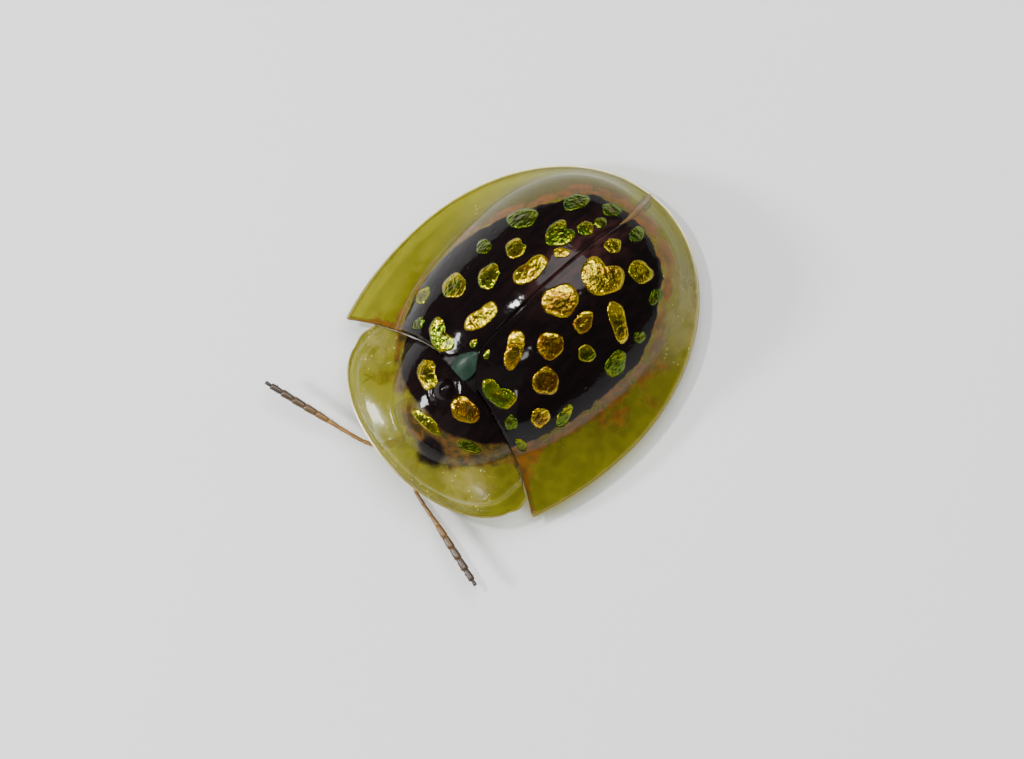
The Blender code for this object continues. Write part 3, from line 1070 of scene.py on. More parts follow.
@dataclass
class SpotInlay:
    """Metallic spots laid into a curved shell."""

    height: Rule
    lift: float = 0.014
    depth: float = 0.03
    edge_power: int = 6
    rings: int = 7
    sides: int = 40

    def ring(self, spot: Spot, sign: int, share: float) -> tuple[list[Vector], list[Vector], list[float]]:
        """One ring of a spot.

        Args:
            spot: The spot.
            sign: 1 for the left side and -1 for the right one.
            share: How far out the ring lies, up to 1 on the spot's outline.

        Returns:
            The ring's upper points, its lower points, and how sunny each of them is, for painted light.
        """
        turn = math.radians(spot.turn)
        bulge = 1 - share**self.edge_power
        upper, lower, sunny = [], [], []
        for i in range(self.sides):
            angle = 2 * math.pi * i / self.sides
            size = spot.outline(angle) * share
            along, across = spot.long * math.cos(angle) * size, spot.wide * math.sin(angle) * size
            right = along * math.sin(turn) + across * math.cos(turn)
            back = along * math.cos(turn) - across * math.sin(turn)
            x, behind = sign * spot.across + right, spot.behind + back
            z = self.height(x, behind)
            upper.append(place(x, behind, z + self.lift * bulge))
            lower.append(place(x, behind, z - self.depth * bulge))
            # Painted light: how far each point lies towards LIGHT_WAY, which the gold finish paints as its
            # lit side.
            lit = (right * LIGHT_WAY[0] + back * LIGHT_WAY[1]) / spot.wide
            sunny.append(clamp(0.5 + 0.5 * lit))
        return upper, lower, sunny

    def piece(self, name: str, finish: Material, spots: Sequence[Spot], sign: int) -> Piece:
        """Builds one piece from many spots, each a low closed cushion that follows the shell.

        Args:
            name: The piece's name.
            finish: Its material.
            spots: The spots.
            sign: 1 for the left side and -1 for the right one.

        Returns:
            The piece.
        """
        form = Form()
        edges = shares(self.rings)[1:]
        for spot in spots:
            top, under, sunny = zip(*[self.ring(spot, sign, edge) for edge in edges])
            numbers = {
                "edge": [*edges, *reversed(edges[:-1])],
                "tone": [spot.tone] * (2 * self.rings - 1),
                "sunny": [*sunny, *reversed(sunny[:-1])],
            }
            form.add_loft([*under, *reversed(top[:-1])], numbers)
        return form.build(name, finish)


def told_by(rule: Rule, spot_at: Callable[[float, float], PlanPlace]) -> Rule:
    """A rule for across and behind, told for a sheet's u and v."""
    return lambda u, v: rule(*spot_at(u, v))


def edge_bead(name: str, finish: Material, radius: float, path: list[Vector], dusk: list[float]) -> Piece:
    """Builds a thin rounded bead along a path, with how dark it is at each point."""
    return lofted(name, finish, limb_rings(path, [radius] * len(path), 10), {"dusk": dusk})


@dataclass
class WingCovers:
    """Both wing covers: fine shells, their rims and their gold spots."""

    form: CoverForm
    shield: "ShieldForm"
    shell: Material
    gold: Material
    bead: Material
    ridge: Material
    lining: Material
    lining_reach: tuple[float, float] = (2.9, 7.85)
    lining_half_width: float = 0.14
    ridge_start: float = 7.0
    ridge_end: float = LENGTH - 0.04
    ridge_radius: float = 0.06
    columns: int = 150
    rows: int = 76
    thickness: float = 0.1
    lip_columns: int = 6
    lip_lean: float = 0.03
    rim_steps: int = 120
    tip_steps: int = 12
    black_level: float = 0.95
    black_softness: float = 0.1
    rear_narrowing: float = 0.08
    right_narrowing: float = 0.2
    front_line: float = 0.14
    bead_radius: float = 0.034
    # Where the painted highlight on the rim bead starts and how fast it fades.
    shine_from: float = 2.6
    shine_fade: float = 1.3
    rust_patches: tuple[Patch, ...] = (
        Patch(2.5, 4.7, 1.5, 0.6),
        Patch(2.4, 5.8, 0.7, 0.6),
        Patch(0.2, 7.5, 1.0, 0.3),
    )
    shoulder_rust: Patch = Patch(2.15, 2.0, 0.85, 0.55)
    milk_patches: tuple[Patch, ...] = (Patch(2.2, 7.0, 1.7, 0.9), Patch(-2.3, 5.2, 0.9, 0.35))
    left_spots: tuple[Spot, ...] = (
        Spot(1.85, 2.32, 0.1, 0.12, 0, 0.25),
        Spot(1.47, 2.49, 0.16, 0.13, 0, 0.1),
        Spot(0.9, 2.77, 0.27, 0.37, -15, 0.32, SpotShape.CRESCENT),
        Spot(1.8, 3.01, 0.22, 0.16, 0, 0.8),
        Spot(0.19, 3.1, 0.11, 0.07, -20, 0.3),
        Spot(2.08, 3.4, 0.28, 0.1, -8, 0.25),
        Spot(0.53, 3.59, 0.42, 0.24, -30, 0.85, SpotShape.WAIST),
        Spot(1.4, 3.61, 0.29, 0.26, 0, 1.0),
        Spot(0.98, 4.19, 0.29, 0.27, 0, 0.95),
        Spot(1.57, 4.63, 0.18, 0.17, 0, 0.32),
        Spot(2.06, 4.93, 0.3, 0.17, -14, 0.15),
        Spot(0.47, 4.98, 0.4, 0.34, 20, 0.78),
        Spot(1.1, 5.03, 0.26, 0.17, -14, 0.8),
        Spot(1.52, 5.57, 0.42, 0.21, -59, 0.6, SpotShape.WAIST),
        Spot(1.99, 5.68, 0.14, 0.1, 0, 0.05),
        Spot(0.64, 5.98, 0.4, 0.42, -25, 0.7, SpotShape.HEART),
        Spot(1.6, 6.5, 0.2, 0.1, -19, 0.08),
        Spot(0.29, 6.58, 0.18, 0.17, 0, 0.42),
        Spot(1.05, 6.65, 0.25, 0.24, 0, 0.5, SpotShape.HEART),
        Spot(0.37, 7.12, 0.2, 0.14, -24, 0.1),
    )
    right_spots: tuple[Spot, ...] = (
        Spot(1.44, 2.5, 0.17, 0.12, 20, 0.1),
        Spot(0.82, 2.72, 0.28, 0.37, 15, 0.32, SpotShape.CRESCENT),
        Spot(1.88, 2.97, 0.22, 0.18, -14, 0.35),
        Spot(0.18, 3.06, 0.1, 0.08, 0, 0.3),
        Spot(0.45, 3.56, 0.42, 0.25, 11, 0.62, SpotShape.WAIST),
        Spot(1.43, 3.59, 0.28, 0.29, 0, 0.42),
        Spot(0.99, 4.25, 0.3, 0.23, -24, 0.38),
        Spot(1.62, 4.61, 0.17, 0.19, 0, 0.15),
        Spot(0.43, 4.97, 0.42, 0.28, 6, 0.66, SpotShape.WAIST),
        Spot(1.03, 5.08, 0.24, 0.22, 10, 0.45, SpotShape.HEART),
        Spot(1.49, 5.61, 0.35, 0.25, 41, 0.14),
        Spot(0.27, 5.69, 0.18, 0.12, 46, 0.64),
        Spot(0.62, 5.95, 0.32, 0.28, 0, 0.3, SpotShape.HEART),
        Spot(0.36, 6.41, 0.17, 0.17, 0, 0.28),
        Spot(0.99, 6.66, 0.28, 0.2, 21, 0.12),
        Spot(0.27, 6.73, 0.13, 0.13, 0, 0.15),
        Spot(0.38, 7.09, 0.2, 0.16, 60, 0.1),
    )

    def black_edge(self, x: float, behind: float) -> float:
        """The dome level where the black field ends, nearer the top on the right and rear."""
        right = self.right_narrowing * clamp(-x / 1.2) * bell(behind, 5.7, 1.3)
        return self.black_level - self.rear_narrowing * clamp((behind - 5.2) / 1.2) - right

    def beyond(self, x: float, behind: float) -> float:
        """How far outside the black field a place lies, in levels of the dome."""
        return self.form.dome_level(x, behind) - self.black_edge(x, behind)

    def black_share(self, x: float, behind: float) -> float:
        """1 well inside the black field and 0 outside it or on the seam's end."""
        seam = clamp(1 - abs(x - self.form.seam_x(behind)) / 0.1) if behind > 7.2 else 0
        return clamp(0.5 - self.beyond(x, behind) / self.black_softness - 0.5 * seam)

    def warm_share(self, x: float, behind: float) -> float:
        """A faint maroon tint, with a painted maroon sheen beside the seam towards the rear."""
        along = clamp((behind - 4.2) / 1.2) * clamp((7.4 - behind) / 0.8)
        return 0.9 * bell(x, self.form.seam_x(behind), 0.45) * along + 0.1

    def smoke_share(self, x: float, behind: float) -> float:
        """How much painted shade darkens the clear part: most on the dome's foot beyond the black field."""
        ending = clamp((1.08 - self.form.dome_level(x, behind)) / 0.14)
        return clamp(0.3 + self.beyond(x, behind) / 0.06) * ending * (0.35 + 0.65 * clamp(-x / 0.8))

    def pale_share(self, x: float, behind: float) -> float:
        """How milky the clear part looks: most round the tip on the left."""
        return clamp(sum(patch.at(x, behind) for patch in self.milk_patches))

    def rust_share(self, x: float, behind: float) -> float:
        """How rusty a place may be: most at the shoulders, the flank and the tip.

        Args:
            x: Millimetres across.
            behind: Millimetres behind the shield's front edge.

        Returns:
            The share from 0 to 1.
        """
        beyond = self.beyond(x, behind)
        ring = 0.78 * bell(beyond, 0.03, 0.06)
        between = 0.3 * clamp(beyond / 0.1) * clamp((1.04 - self.form.dome_level(x, behind)) / 0.08)
        front = 0.9 * clamp(1 - (behind - self.form.base_edge(x)) / self.front_line)
        patches = sum(patch.at(x, behind) for patch in self.rust_patches)
        return clamp(ring + between + front + patches + self.shoulder_rust.at(abs(x), behind))

    def edge_share(self, x: float, behind: float) -> float:
        """1 on the outer rim and 0 a little way in."""
        return clamp(1 - (1 - self.form.rim_level(x, behind)) / 0.03)

    def along(self, u: float) -> float:
        """The share of the wing cover's length, 0 all over the lip that turns down in front."""
        lip = self.lip_columns / self.columns
        return max(u - lip, 0) / (1 - lip)

    def lip_drop(self, x: float, behind: float) -> float:
        """How far the front edge turns down to meet the shield."""
        step = self.form.height(x, behind) - self.shield.height(x, behind - 0.05)
        return clamp(step + 0.06, 0.04, 0.5)

    def shell_point(self, side: Side, u: float, v: float) -> Vector:
        """A point of a shell's upper face.

        Args:
            side: Which wing cover.
            u: 0 at the front, where a lip turns down, and 1 at the tip.
            v: 0 at the seam and 1 at the rim.

        Returns:
            The point.
        """
        x, behind = self.form.spot_at(side, self.along(u), v)
        turned = clamp(1 - u * self.columns / self.lip_columns)
        z = self.form.height(x, behind) - self.lip_drop(x, behind) * turned**2
        return place(x, behind - self.lip_lean * turned, z)

    def shell_piece(self, side: Side) -> Piece:
        """Builds one wing cover's shell.

        Args:
            side: Which wing cover.

        Returns:
            The shell.
        """
        rules = {
            "black": self.black_share,
            "warm": self.warm_share,
            "rust": self.rust_share,
            "smoke": self.smoke_share,
            "pale": self.pale_share,
            "edge": self.edge_share,
        }

        def spot_at(u: float, v: float) -> PlanPlace:
            """Across and behind at u along the shell and v across it."""
            return self.form.spot_at(side, self.along(u), v)

        def surface(u: float, v: float) -> Vector:
            """The point at u along the shell and v across it."""
            return self.shell_point(side, u, v)

        marks = {name: told_by(rule, spot_at) for name, rule in rules.items()}
        size = (self.columns, self.rows)
        return laid_sheet(f"wing_cover_{side.label}", self.shell, size, surface, self.thickness, marks)

    def rim_dusk(self, x: float, behind: float) -> float:
        """Painted shade on the rim bead, with a painted highlight where it faces the light."""
        facing = LIGHT_WAY[0] * x + LIGHT_WAY[1] * (behind - self.form.widest)
        return clamp((self.shine_from - facing) / self.shine_fade)

    def rim_bead(self, side: Side) -> Piece:
        """Builds the rounded bead along one wing cover's rim and round its tip.

        Args:
            side: Which wing cover.

        Returns:
            The bead.
        """
        turns = [(u, 1.0) for u in shares(self.rim_steps)]
        turns += [(1.0, 1 - v) for v in shares(self.tip_steps)[1:]]
        spots = [self.form.spot_at(side, u, v) for u, v in turns]
        path = [place(*spot, self.form.height(*spot) - self.thickness / 2) for spot in spots]
        # Painted light: the bead is painted light where it faces the light and dark elsewhere.
        dusk = [self.rim_dusk(*spot) for spot in spots]
        return edge_bead(f"cover_rim_{side.label}", self.bead, self.bead_radius, path, dusk)

    def seam_ridge(self) -> Piece:
        """Builds the low pale ridge that covers the seam's end.

        Returns:
            The ridge.
        """
        path, radii = [], []
        for share in shares(30):
            behind = mix(self.ridge_start, self.ridge_end, share)
            x = self.form.seam_x(behind)
            path.append(place(x, behind, self.form.height(x, behind) - 0.01))
            radii.append(self.ridge_radius * math.sin(math.pi * mix(0.08, 0.8, share)))
        rings = limb_rings(path, radii, 14, 0.7)
        return lofted("seam_ridge", self.ridge, rings, {"dusk": [0.3] * len(path)})

    def lining_point(self, u: float, v: float) -> Vector:
        """A point of the lining at u across the strip and v along it.

        Args:
            u: 0 at its right edge and 1 at its left one.
            v: 0 at its front and 1 at its rear.

        Returns:
            The point.
        """
        behind = mix(*self.lining_reach, v)
        x = self.form.seam_x(behind) + self.lining_half_width * (2 * u - 1)
        return place(x, behind, self.form.height(x, behind) - self.thickness)

    def seam_lining(self) -> Piece:
        """Builds the dark strip under the seam, which keeps light from showing through it."""
        return laid_sheet("seam_lining", self.lining, (4, 60), self.lining_point, self.thickness / 2)

    def build(self) -> None:
        """Builds both wing covers."""
        inlay = SpotInlay(self.form.height)
        for side, spots in ((Side.LEFT, self.left_spots), (Side.RIGHT, self.right_spots)):
            hand_in(self.shell_piece(side), "dark_shell", f"elytron_{side.label}")
            hand_in(self.rim_bead(side), "dark_shell")
            name = f"gold_spots_{side.label}"
            hand_in(inlay.piece(name, self.gold, spots, side.value), "dark_shell")
        hand_in(self.seam_ridge(), "dark_shell")
        hand_in(self.seam_lining(), "dark_shell")


# Shield over the head


@dataclass(frozen=True)
class ShieldForm:
    """The shield's shape: a clear brim that rises to a low dome at its base."""

    cover: CoverForm
    middle_x: float = 0.15
    half_width: float = 2.47
    end_swell: float = 0.08
    half_depth: float = 1.37
    corner: float = math.radians(78)
    rear_half_width: float = 2.48
    base_gap: float = 0.04
    edge_height: float = 1.05
    end_drop: float = 0.1
    slope_rise: float = 0.45
    slope_power: float = 0.9
    dome_rise: float = 0.85
    dome_power: float = 0.8
    dome_half_width: float = 1.7
    dome_centre: float = 2.6
    dome_reach: float = 2.0
    boss: Patch = Patch(0.0, 1.95, 0.27, 0.13)
    boss_groove: float = 0.05
    groove_width: float = 0.06
    roll_rise: float = 0.07
    roll_place: float = 0.085
    roll_width: float = 0.04

    def height(self, x: float, behind: float) -> float:
        """Height of the shield's upper surface.

        Args:
            x: Millimetres across.
            behind: Millimetres behind its front edge.

        Returns:
            The height in millimetres.
        """
        across = (x - self.middle_x) / self.half_width
        ahead = max(self.half_depth - behind, 0) / self.half_depth
        slope = max(1 - across**2 - ahead**2, 0) ** self.slope_power
        level = math.hypot(
            (x - self.middle_x) / self.dome_half_width,
            (behind - self.dome_centre) / self.dome_reach,
        )
        dome = max(1 - level**2, 0) ** self.dome_power
        away = math.hypot(x - self.boss.across, behind - self.boss.behind)
        groove = self.boss_groove * bell(away, self.boss.radius, self.groove_width)
        edge = self.edge_height - self.end_drop * across**2
        roll = self.roll_rise * bell(1 - math.hypot(across, ahead), self.roll_place, self.roll_width)
        rise = self.slope_rise * slope + self.dome_rise * dome + self.boss.at(x, behind)
        return edge + rise + roll - groove

    def spot_at(self, u: float, v: float) -> PlanPlace:
        """Across and behind of a place on the shield.

        Args:
            u: 0 at the right end and 1 at the left one.
            v: 0 at the front edge and 1 at the base.

        Returns:
            Across and behind, in millimetres.
        """
        angle = mix(-self.corner, self.corner, u)
        front_x = self.middle_x + self.half_width * math.sin(angle)
        front = self.half_depth * (1 - math.cos(angle))
        across = math.sin(angle) / math.sin(self.corner)
        rear_x = self.middle_x + self.rear_half_width * across
        rear = self.cover.base_edge(rear_x) - self.base_gap
        swell = self.end_swell * across * abs(across) ** 7 * math.sin(math.pi * v) ** 2
        return mix(front_x, rear_x, v) + swell, mix(front, rear, v)


@dataclass
class Shield:
    """The shield: its clear shell, gold spots and dark round boss."""

    form: ShieldForm
    shell: Material
    gold: Material
    bead: Material
    columns: int = 150
    rows: int = 56
    thickness: float = 0.08
    bead_radius: float = 0.032
    # Patch of painted highlight on the shield's rim bead, which is painted dark elsewhere.
    shine: Patch = Patch(-0.95, 0.2, 1.6)
    # Faint maroon tint of the shield's black field; the shield gets no painted sheen.
    warmth: float = 0.15
    rim_steps: int = 120
    end_steps: int = 12
    black_front: float = 1.33
    black_half_width: float = 1.66
    # Painted shadow of the head under the shield: a dark core and a brown fringe round it.
    stain: Patch = Patch(0.62, 0.84, 0.62, 0.8)
    halo: Patch = Patch(0.62, 0.84, 0.93, 0.6)
    milk_patches: tuple[Patch, ...] = (Patch(-1.9, 1.5, 0.7, 0.8), Patch(1.6, 0.95, 0.75))
    spots: tuple[Spot, ...] = (
        Spot(-0.52, 1.93, 0.24, 0.34, 30, 0.6, SpotShape.HEART),
        Spot(0.6, 1.97, 0.25, 0.34, -12, 0.85),
        Spot(0.18, 1.2, 0.13, 0.42, -6, 0.4),
        Spot(1.16, 1.5, 0.1, 0.24, -30, 0.25),
    )

    def black_share(self, x: float, behind: float) -> float:
        """1 well inside the black field at the base and in the painted head shadow, 0 outside them."""
        front = self.black_front + 0.85 * (abs(x) / self.black_half_width) ** 3
        return max(clamp(0.5 + (behind - front) / 0.3), self.stain.at(x, behind))

    def rust_share(self, x: float, behind: float) -> float:
        """How brown it may be: most on a belt ahead of the black field and round the painted head shadow.

        Args:
            x: Millimetres across.
            behind: Millimetres behind the shield's front edge.

        Returns:
            The share from 0 to 1.
        """
        side = abs(x - self.form.middle_x) / 1.8
        belt = clamp((behind - (0.6 + 1.05 * side**2.2)) / 0.3)
        base = clamp(1 - (self.form.cover.base_edge(x) - self.form.base_gap - behind) / 0.1)
        return clamp(belt * 0.75 + base * 0.5 + self.halo.at(x, behind))

    def pale_share(self, x: float, behind: float) -> float:
        """How milky the clear part looks: most towards the two ends."""
        brim = 0.3 * clamp(1 - behind / 1.2)
        return clamp(sum(patch.at(x, behind) for patch in self.milk_patches) + brim)

    def edge_share(self, u: float, v: float) -> float:
        """1 on the outer edge and 0 a little way in."""
        ends = clamp(1 - min(u, 1 - u) / 0.015)
        return max(clamp(1 - v / 0.03), ends)

    def surface(self, u: float, v: float) -> Vector:
        """The point of the shell's upper face at u from side to side and v from the front."""
        x, behind = self.form.spot_at(u, v)
        return place(x, behind, self.form.height(x, behind))

    def shell_piece(self) -> Piece:
        """Builds the clear shell.

        Returns:
            The shell.
        """
        marks = {
            "black": told_by(self.black_share, self.form.spot_at),
            "warm": lambda u, v: self.warmth,
            "rust": told_by(self.rust_share, self.form.spot_at),
            "smoke": lambda u, v: 0.0,
            "pale": told_by(self.pale_share, self.form.spot_at),
            "edge": self.edge_share,
        }
        size = (self.columns, self.rows)
        return laid_sheet("shield", self.shell, size, self.surface, self.thickness, marks)

    def rim_bead(self) -> Piece:
        """Builds the rounded bead along the front edge and round both ends.

        Returns:
            The bead.
        """
        turns = [(0.0, 1 - v) for v in shares(self.end_steps)]
        turns += [(u, 0.0) for u in shares(self.rim_steps)[1:]]
        turns += [(1.0, v) for v in shares(self.end_steps)[1:]]
        spots = [self.form.spot_at(u, v) for u, v in turns]
        path = [place(*spot, self.form.height(*spot) - self.thickness / 2) for spot in spots]
        # Painted highlight on the bead inside the shine patch, painted shade elsewhere.
        dusk = [1 - self.shine.at(*spot) for spot in spots]
        return edge_bead("shield_rim", self.bead, self.bead_radius, path, dusk)

    def build(self) -> None:
        """Builds the shield."""
        hand_in(self.shell_piece(), "amber_shield", "pronotum")
        hand_in(self.rim_bead(), "amber_shield")
        inlay = SpotInlay(self.form.height)
        hand_in(inlay.piece("shield_spots", self.gold, self.spots, 1), "amber_shield")


# Copies that grow on points and faces


class CopyPoints(Form):
    """Points that a small shape is copied onto, each with its direction and size."""

    def add_copy(self, point: Vector, ahead: Vector, wide: float, long: float, **marks: float) -> None:
        """Adds one point.

        Args:
            point: Where the copy's origin goes, in metres.
            ahead: The way that the copy points.
            wide: How wide it is, as a share of the shape.
            long: How long it is, as a share of the shape.
            **marks: Named numbers that it carries.
        """
        numbers = dict(zip(("ahead_x", "ahead_y", "ahead_z"), ahead), wide=wide, long=long, **marks)
        self.add([point], [], {name: [number] for name, number in numbers.items()})

    def dress(self, name: str, pattern: Piece, finish: Material) -> Piece:
        """Sets a copy of a small shape on each point.

        Args:
            name: The piece's name.
            pattern: The small shape, which runs along Z and is removed afterwards.
            finish: The copies' material.

        Returns:
            The piece made of all copies.
        """
        grower = Grower(name)
        wide = grower.mark("wide") * grower.named_input("Width", "Float", 1.0)
        ahead = grower.join(*[grower.mark(f"ahead_{axis}") for axis in "xyz"])
        size = grower.join(wide, wide, grower.mark("long"))
        grower.copies(grower.entry.outputs[0], pattern, ahead, size, finish)
        piece = grower.run(self.build(name, finish))
        bpy.data.objects.remove(pattern, do_unlink=True)
        return piece


@dataclass(frozen=True)
class Bristles:
    """Short stiff hairs scattered over a piece, each leaning the way that the piece runs."""

    length: float
    width: float
    density: float
    lowest: float = 0.1
    shortest: float = 0.6
    longest: float = 1.2
    seed: int = 7
    profile: tuple[tuple[float, float], ...] = ((0.0, 1.0), (0.5, 0.7), (0.95, 0.2))
    sides: int = 4

    def tree(self, name: str, pattern: Piece, lean: Place, finish: Material) -> Grower:
        """Builds the tree that grows hairs wherever a piece is clear of the floor.

        Args:
            name: The tree's name.
            pattern: One hair.
            lean: What is added to the surface's own direction.
            finish: The hairs' material.

        Returns:
            The tree.
        """
        grower = Grower(name)
        density = grower.named_input("Hairs per square metre", "Float", self.density * 1e6)
        length = grower.named_input("Length", "Float", self.length * MM)
        width = grower.named_input("Width", "Float", self.width * MM)
        lowest = grower.named_input("Lowest root", "Float", self.lowest * MM)
        tilt = grower.named_input("Lean", "Vector", lean)
        seed = grower.named_input("Seed", "Int", self.seed)
        position = grower.value(0, "GeometryNodeInputPosition")
        height = grower.value(2, "ShaderNodeSeparateXYZ", inputs={0: position})
        inputs = {"Mesh": grower.entry.outputs[0], "Selection": height > lowest}
        inputs |= {"Density": density, "Seed": seed}
        settings = {"distribute_method": "RANDOM"}
        dots = grower.node("GeometryNodeDistributePointsOnFaces", settings, inputs)
        leaning = {0: dots.outputs["Normal"], 1: tilt}
        ahead = grower.value(0, "ShaderNodeVectorMath", {"operation": "ADD"}, leaning)
        limits = {"Min": self.shortest, "Max": self.longest, "Seed": seed}
        spread = grower.value(1, "FunctionNodeRandomValue", {"data_type": "FLOAT"}, limits)
        size = grower.join(width, width, length * spread)
        grower.copies(dots.outputs["Points"], pattern, ahead, size, finish)
        return grower

    def grow(self, name: str, ground: Piece, lean: Place, finish: Material) -> Piece:
        """Grows the hairs.

        Args:
            name: The new piece's name.
            ground: The piece that the hairs grow on, which stays as it is.
            lean: What is added to the surface's own direction.
            finish: The hairs' material.

        Returns:
            The hairs as one piece.
        """
        pattern = lofted("hair", finish, turned_rings(self.profile, self.sides))
        piece = bpy.data.objects.new(name, ground.data.copy())
        bpy.context.scene.collection.objects.link(piece)
        self.tree(name, pattern, lean, finish).run(piece)
        piece.data.materials.clear()
        piece.data.materials.append(finish)
        bpy.data.objects.remove(pattern, do_unlink=True)
        return piece


# Feelers


@dataclass
class Feelers:
    """Both feelers, each of eleven segments that grow thicker and darker towards the end.

    Each row of segments gives a share of the length, a radius and how dark it is. The last
    row is the narrow tip of the last segment.
    """

    horn: Material
    hair: Material
    left: tuple[Place, ...] = (
        (0.22, 0.6, 0.42),
        (0.63, 0.05, 0.3),
        (1.75, -0.17, 0.42),
        (3.17, -0.43, 0.5),
    )
    right: tuple[Place, ...] = (
        (-0.22, 0.6, 0.42),
        (-0.6, 0.0, 0.3),
        (-1.9, -0.41, 0.42),
        (-3.17, -0.76, 0.55),
    )
    segments: tuple[tuple[float, float, float], ...] = (
        (0.13, 0.085, 0.1),
        (0.06, 0.056, 0.1),
        (0.09, 0.048, 0.0),
        (0.09, 0.046, 0.0),
        (0.09, 0.048, 0.05),
        (0.08, 0.056, 0.1),
        (0.085, 0.076, 0.5),
        (0.085, 0.085, 0.75),
        (0.085, 0.086, 0.85),
        (0.085, 0.083, 0.9),
        (0.08, 0.072, 0.95),
        (0.04, 0.045, 1.0),
    )
    profile: tuple[tuple[float, float], ...] = (
        (-0.5, 0.7), (-0.45, 0.8), (-0.3, 0.88), (0.0, 0.95), (0.3, 1.0), (0.45, 0.96), (0.5, 0.75),
    )
    sides: int = 18
    overlap: float = 1.04
    lean: Place = (1.2, -0.2, 0.0)
    bristles: Bristles = Bristles(length=0.06, width=0.005, density=90)

    def points(self, route: Sequence[Place]) -> CopyPoints:
        """Places one point at each segment's middle.

        Args:
            route: The places that the feeler passes.

        Returns:
            The points with each segment's direction and size.
        """
        path = bend(route, 40)
        reach = [0.0]
        for first, second in zip(path, path[1:]):
            reach.append(reach[-1] + (second - first).length)

        def at(share: float) -> Vector:
            """The point part of the way along the feeler.

            Args:
                share: 0 at the feeler's root and 1 at its end.

            Returns:
                The point.
            """
            target = share * reach[-1]
            for k in range(len(path) - 1):
                if reach[k + 1] >= target:
                    part = (target - reach[k]) / (reach[k + 1] - reach[k])
                    return path[k].lerp(path[k + 1], part)
            return path[-1]

        points = CopyPoints()
        start = 0.0
        for length, radius, dusk in self.segments:
            first, second = at(start), at(start + length)
            start += length
            ahead = second - first
            long = ahead.length * self.overlap
            points.add_copy((first + second) / 2, ahead, radius * MM, long, dusk=dusk)
        return points

    def build(self) -> None:
        """Builds both feelers with their short hairs."""
        for side, route in ((Side.LEFT, self.left), (Side.RIGHT, self.right)):
            name = f"feeler_{side.label}"
            segment = lofted("feeler segment", self.horn, turned_rings(self.profile, self.sides))
            piece = self.points(route).dress(name, segment, self.horn)
            hand_in(piece, "amber_limb", f"antenna_{side.label}")
            hairs = self.bristles.grow(f"{name}_hairs", piece, flip(self.lean, side), self.hair)
            hand_in(hairs, "amber_limb")


# Head


@dataclass(frozen=True)
class Lump:
    """A rounded part of the head: its middle, its radii, its faces round, and how dark it is."""

    centre: Place
    radii: Place
    sides: int
    dusk: float

    def add_to(self, form: Form, side: Side = Side.LEFT) -> None:
        """Adds the part to a form, on one side of the beetle."""
        form.add_ball(flip(self.centre, side), self.radii, self.sides, {"dusk": self.dusk})


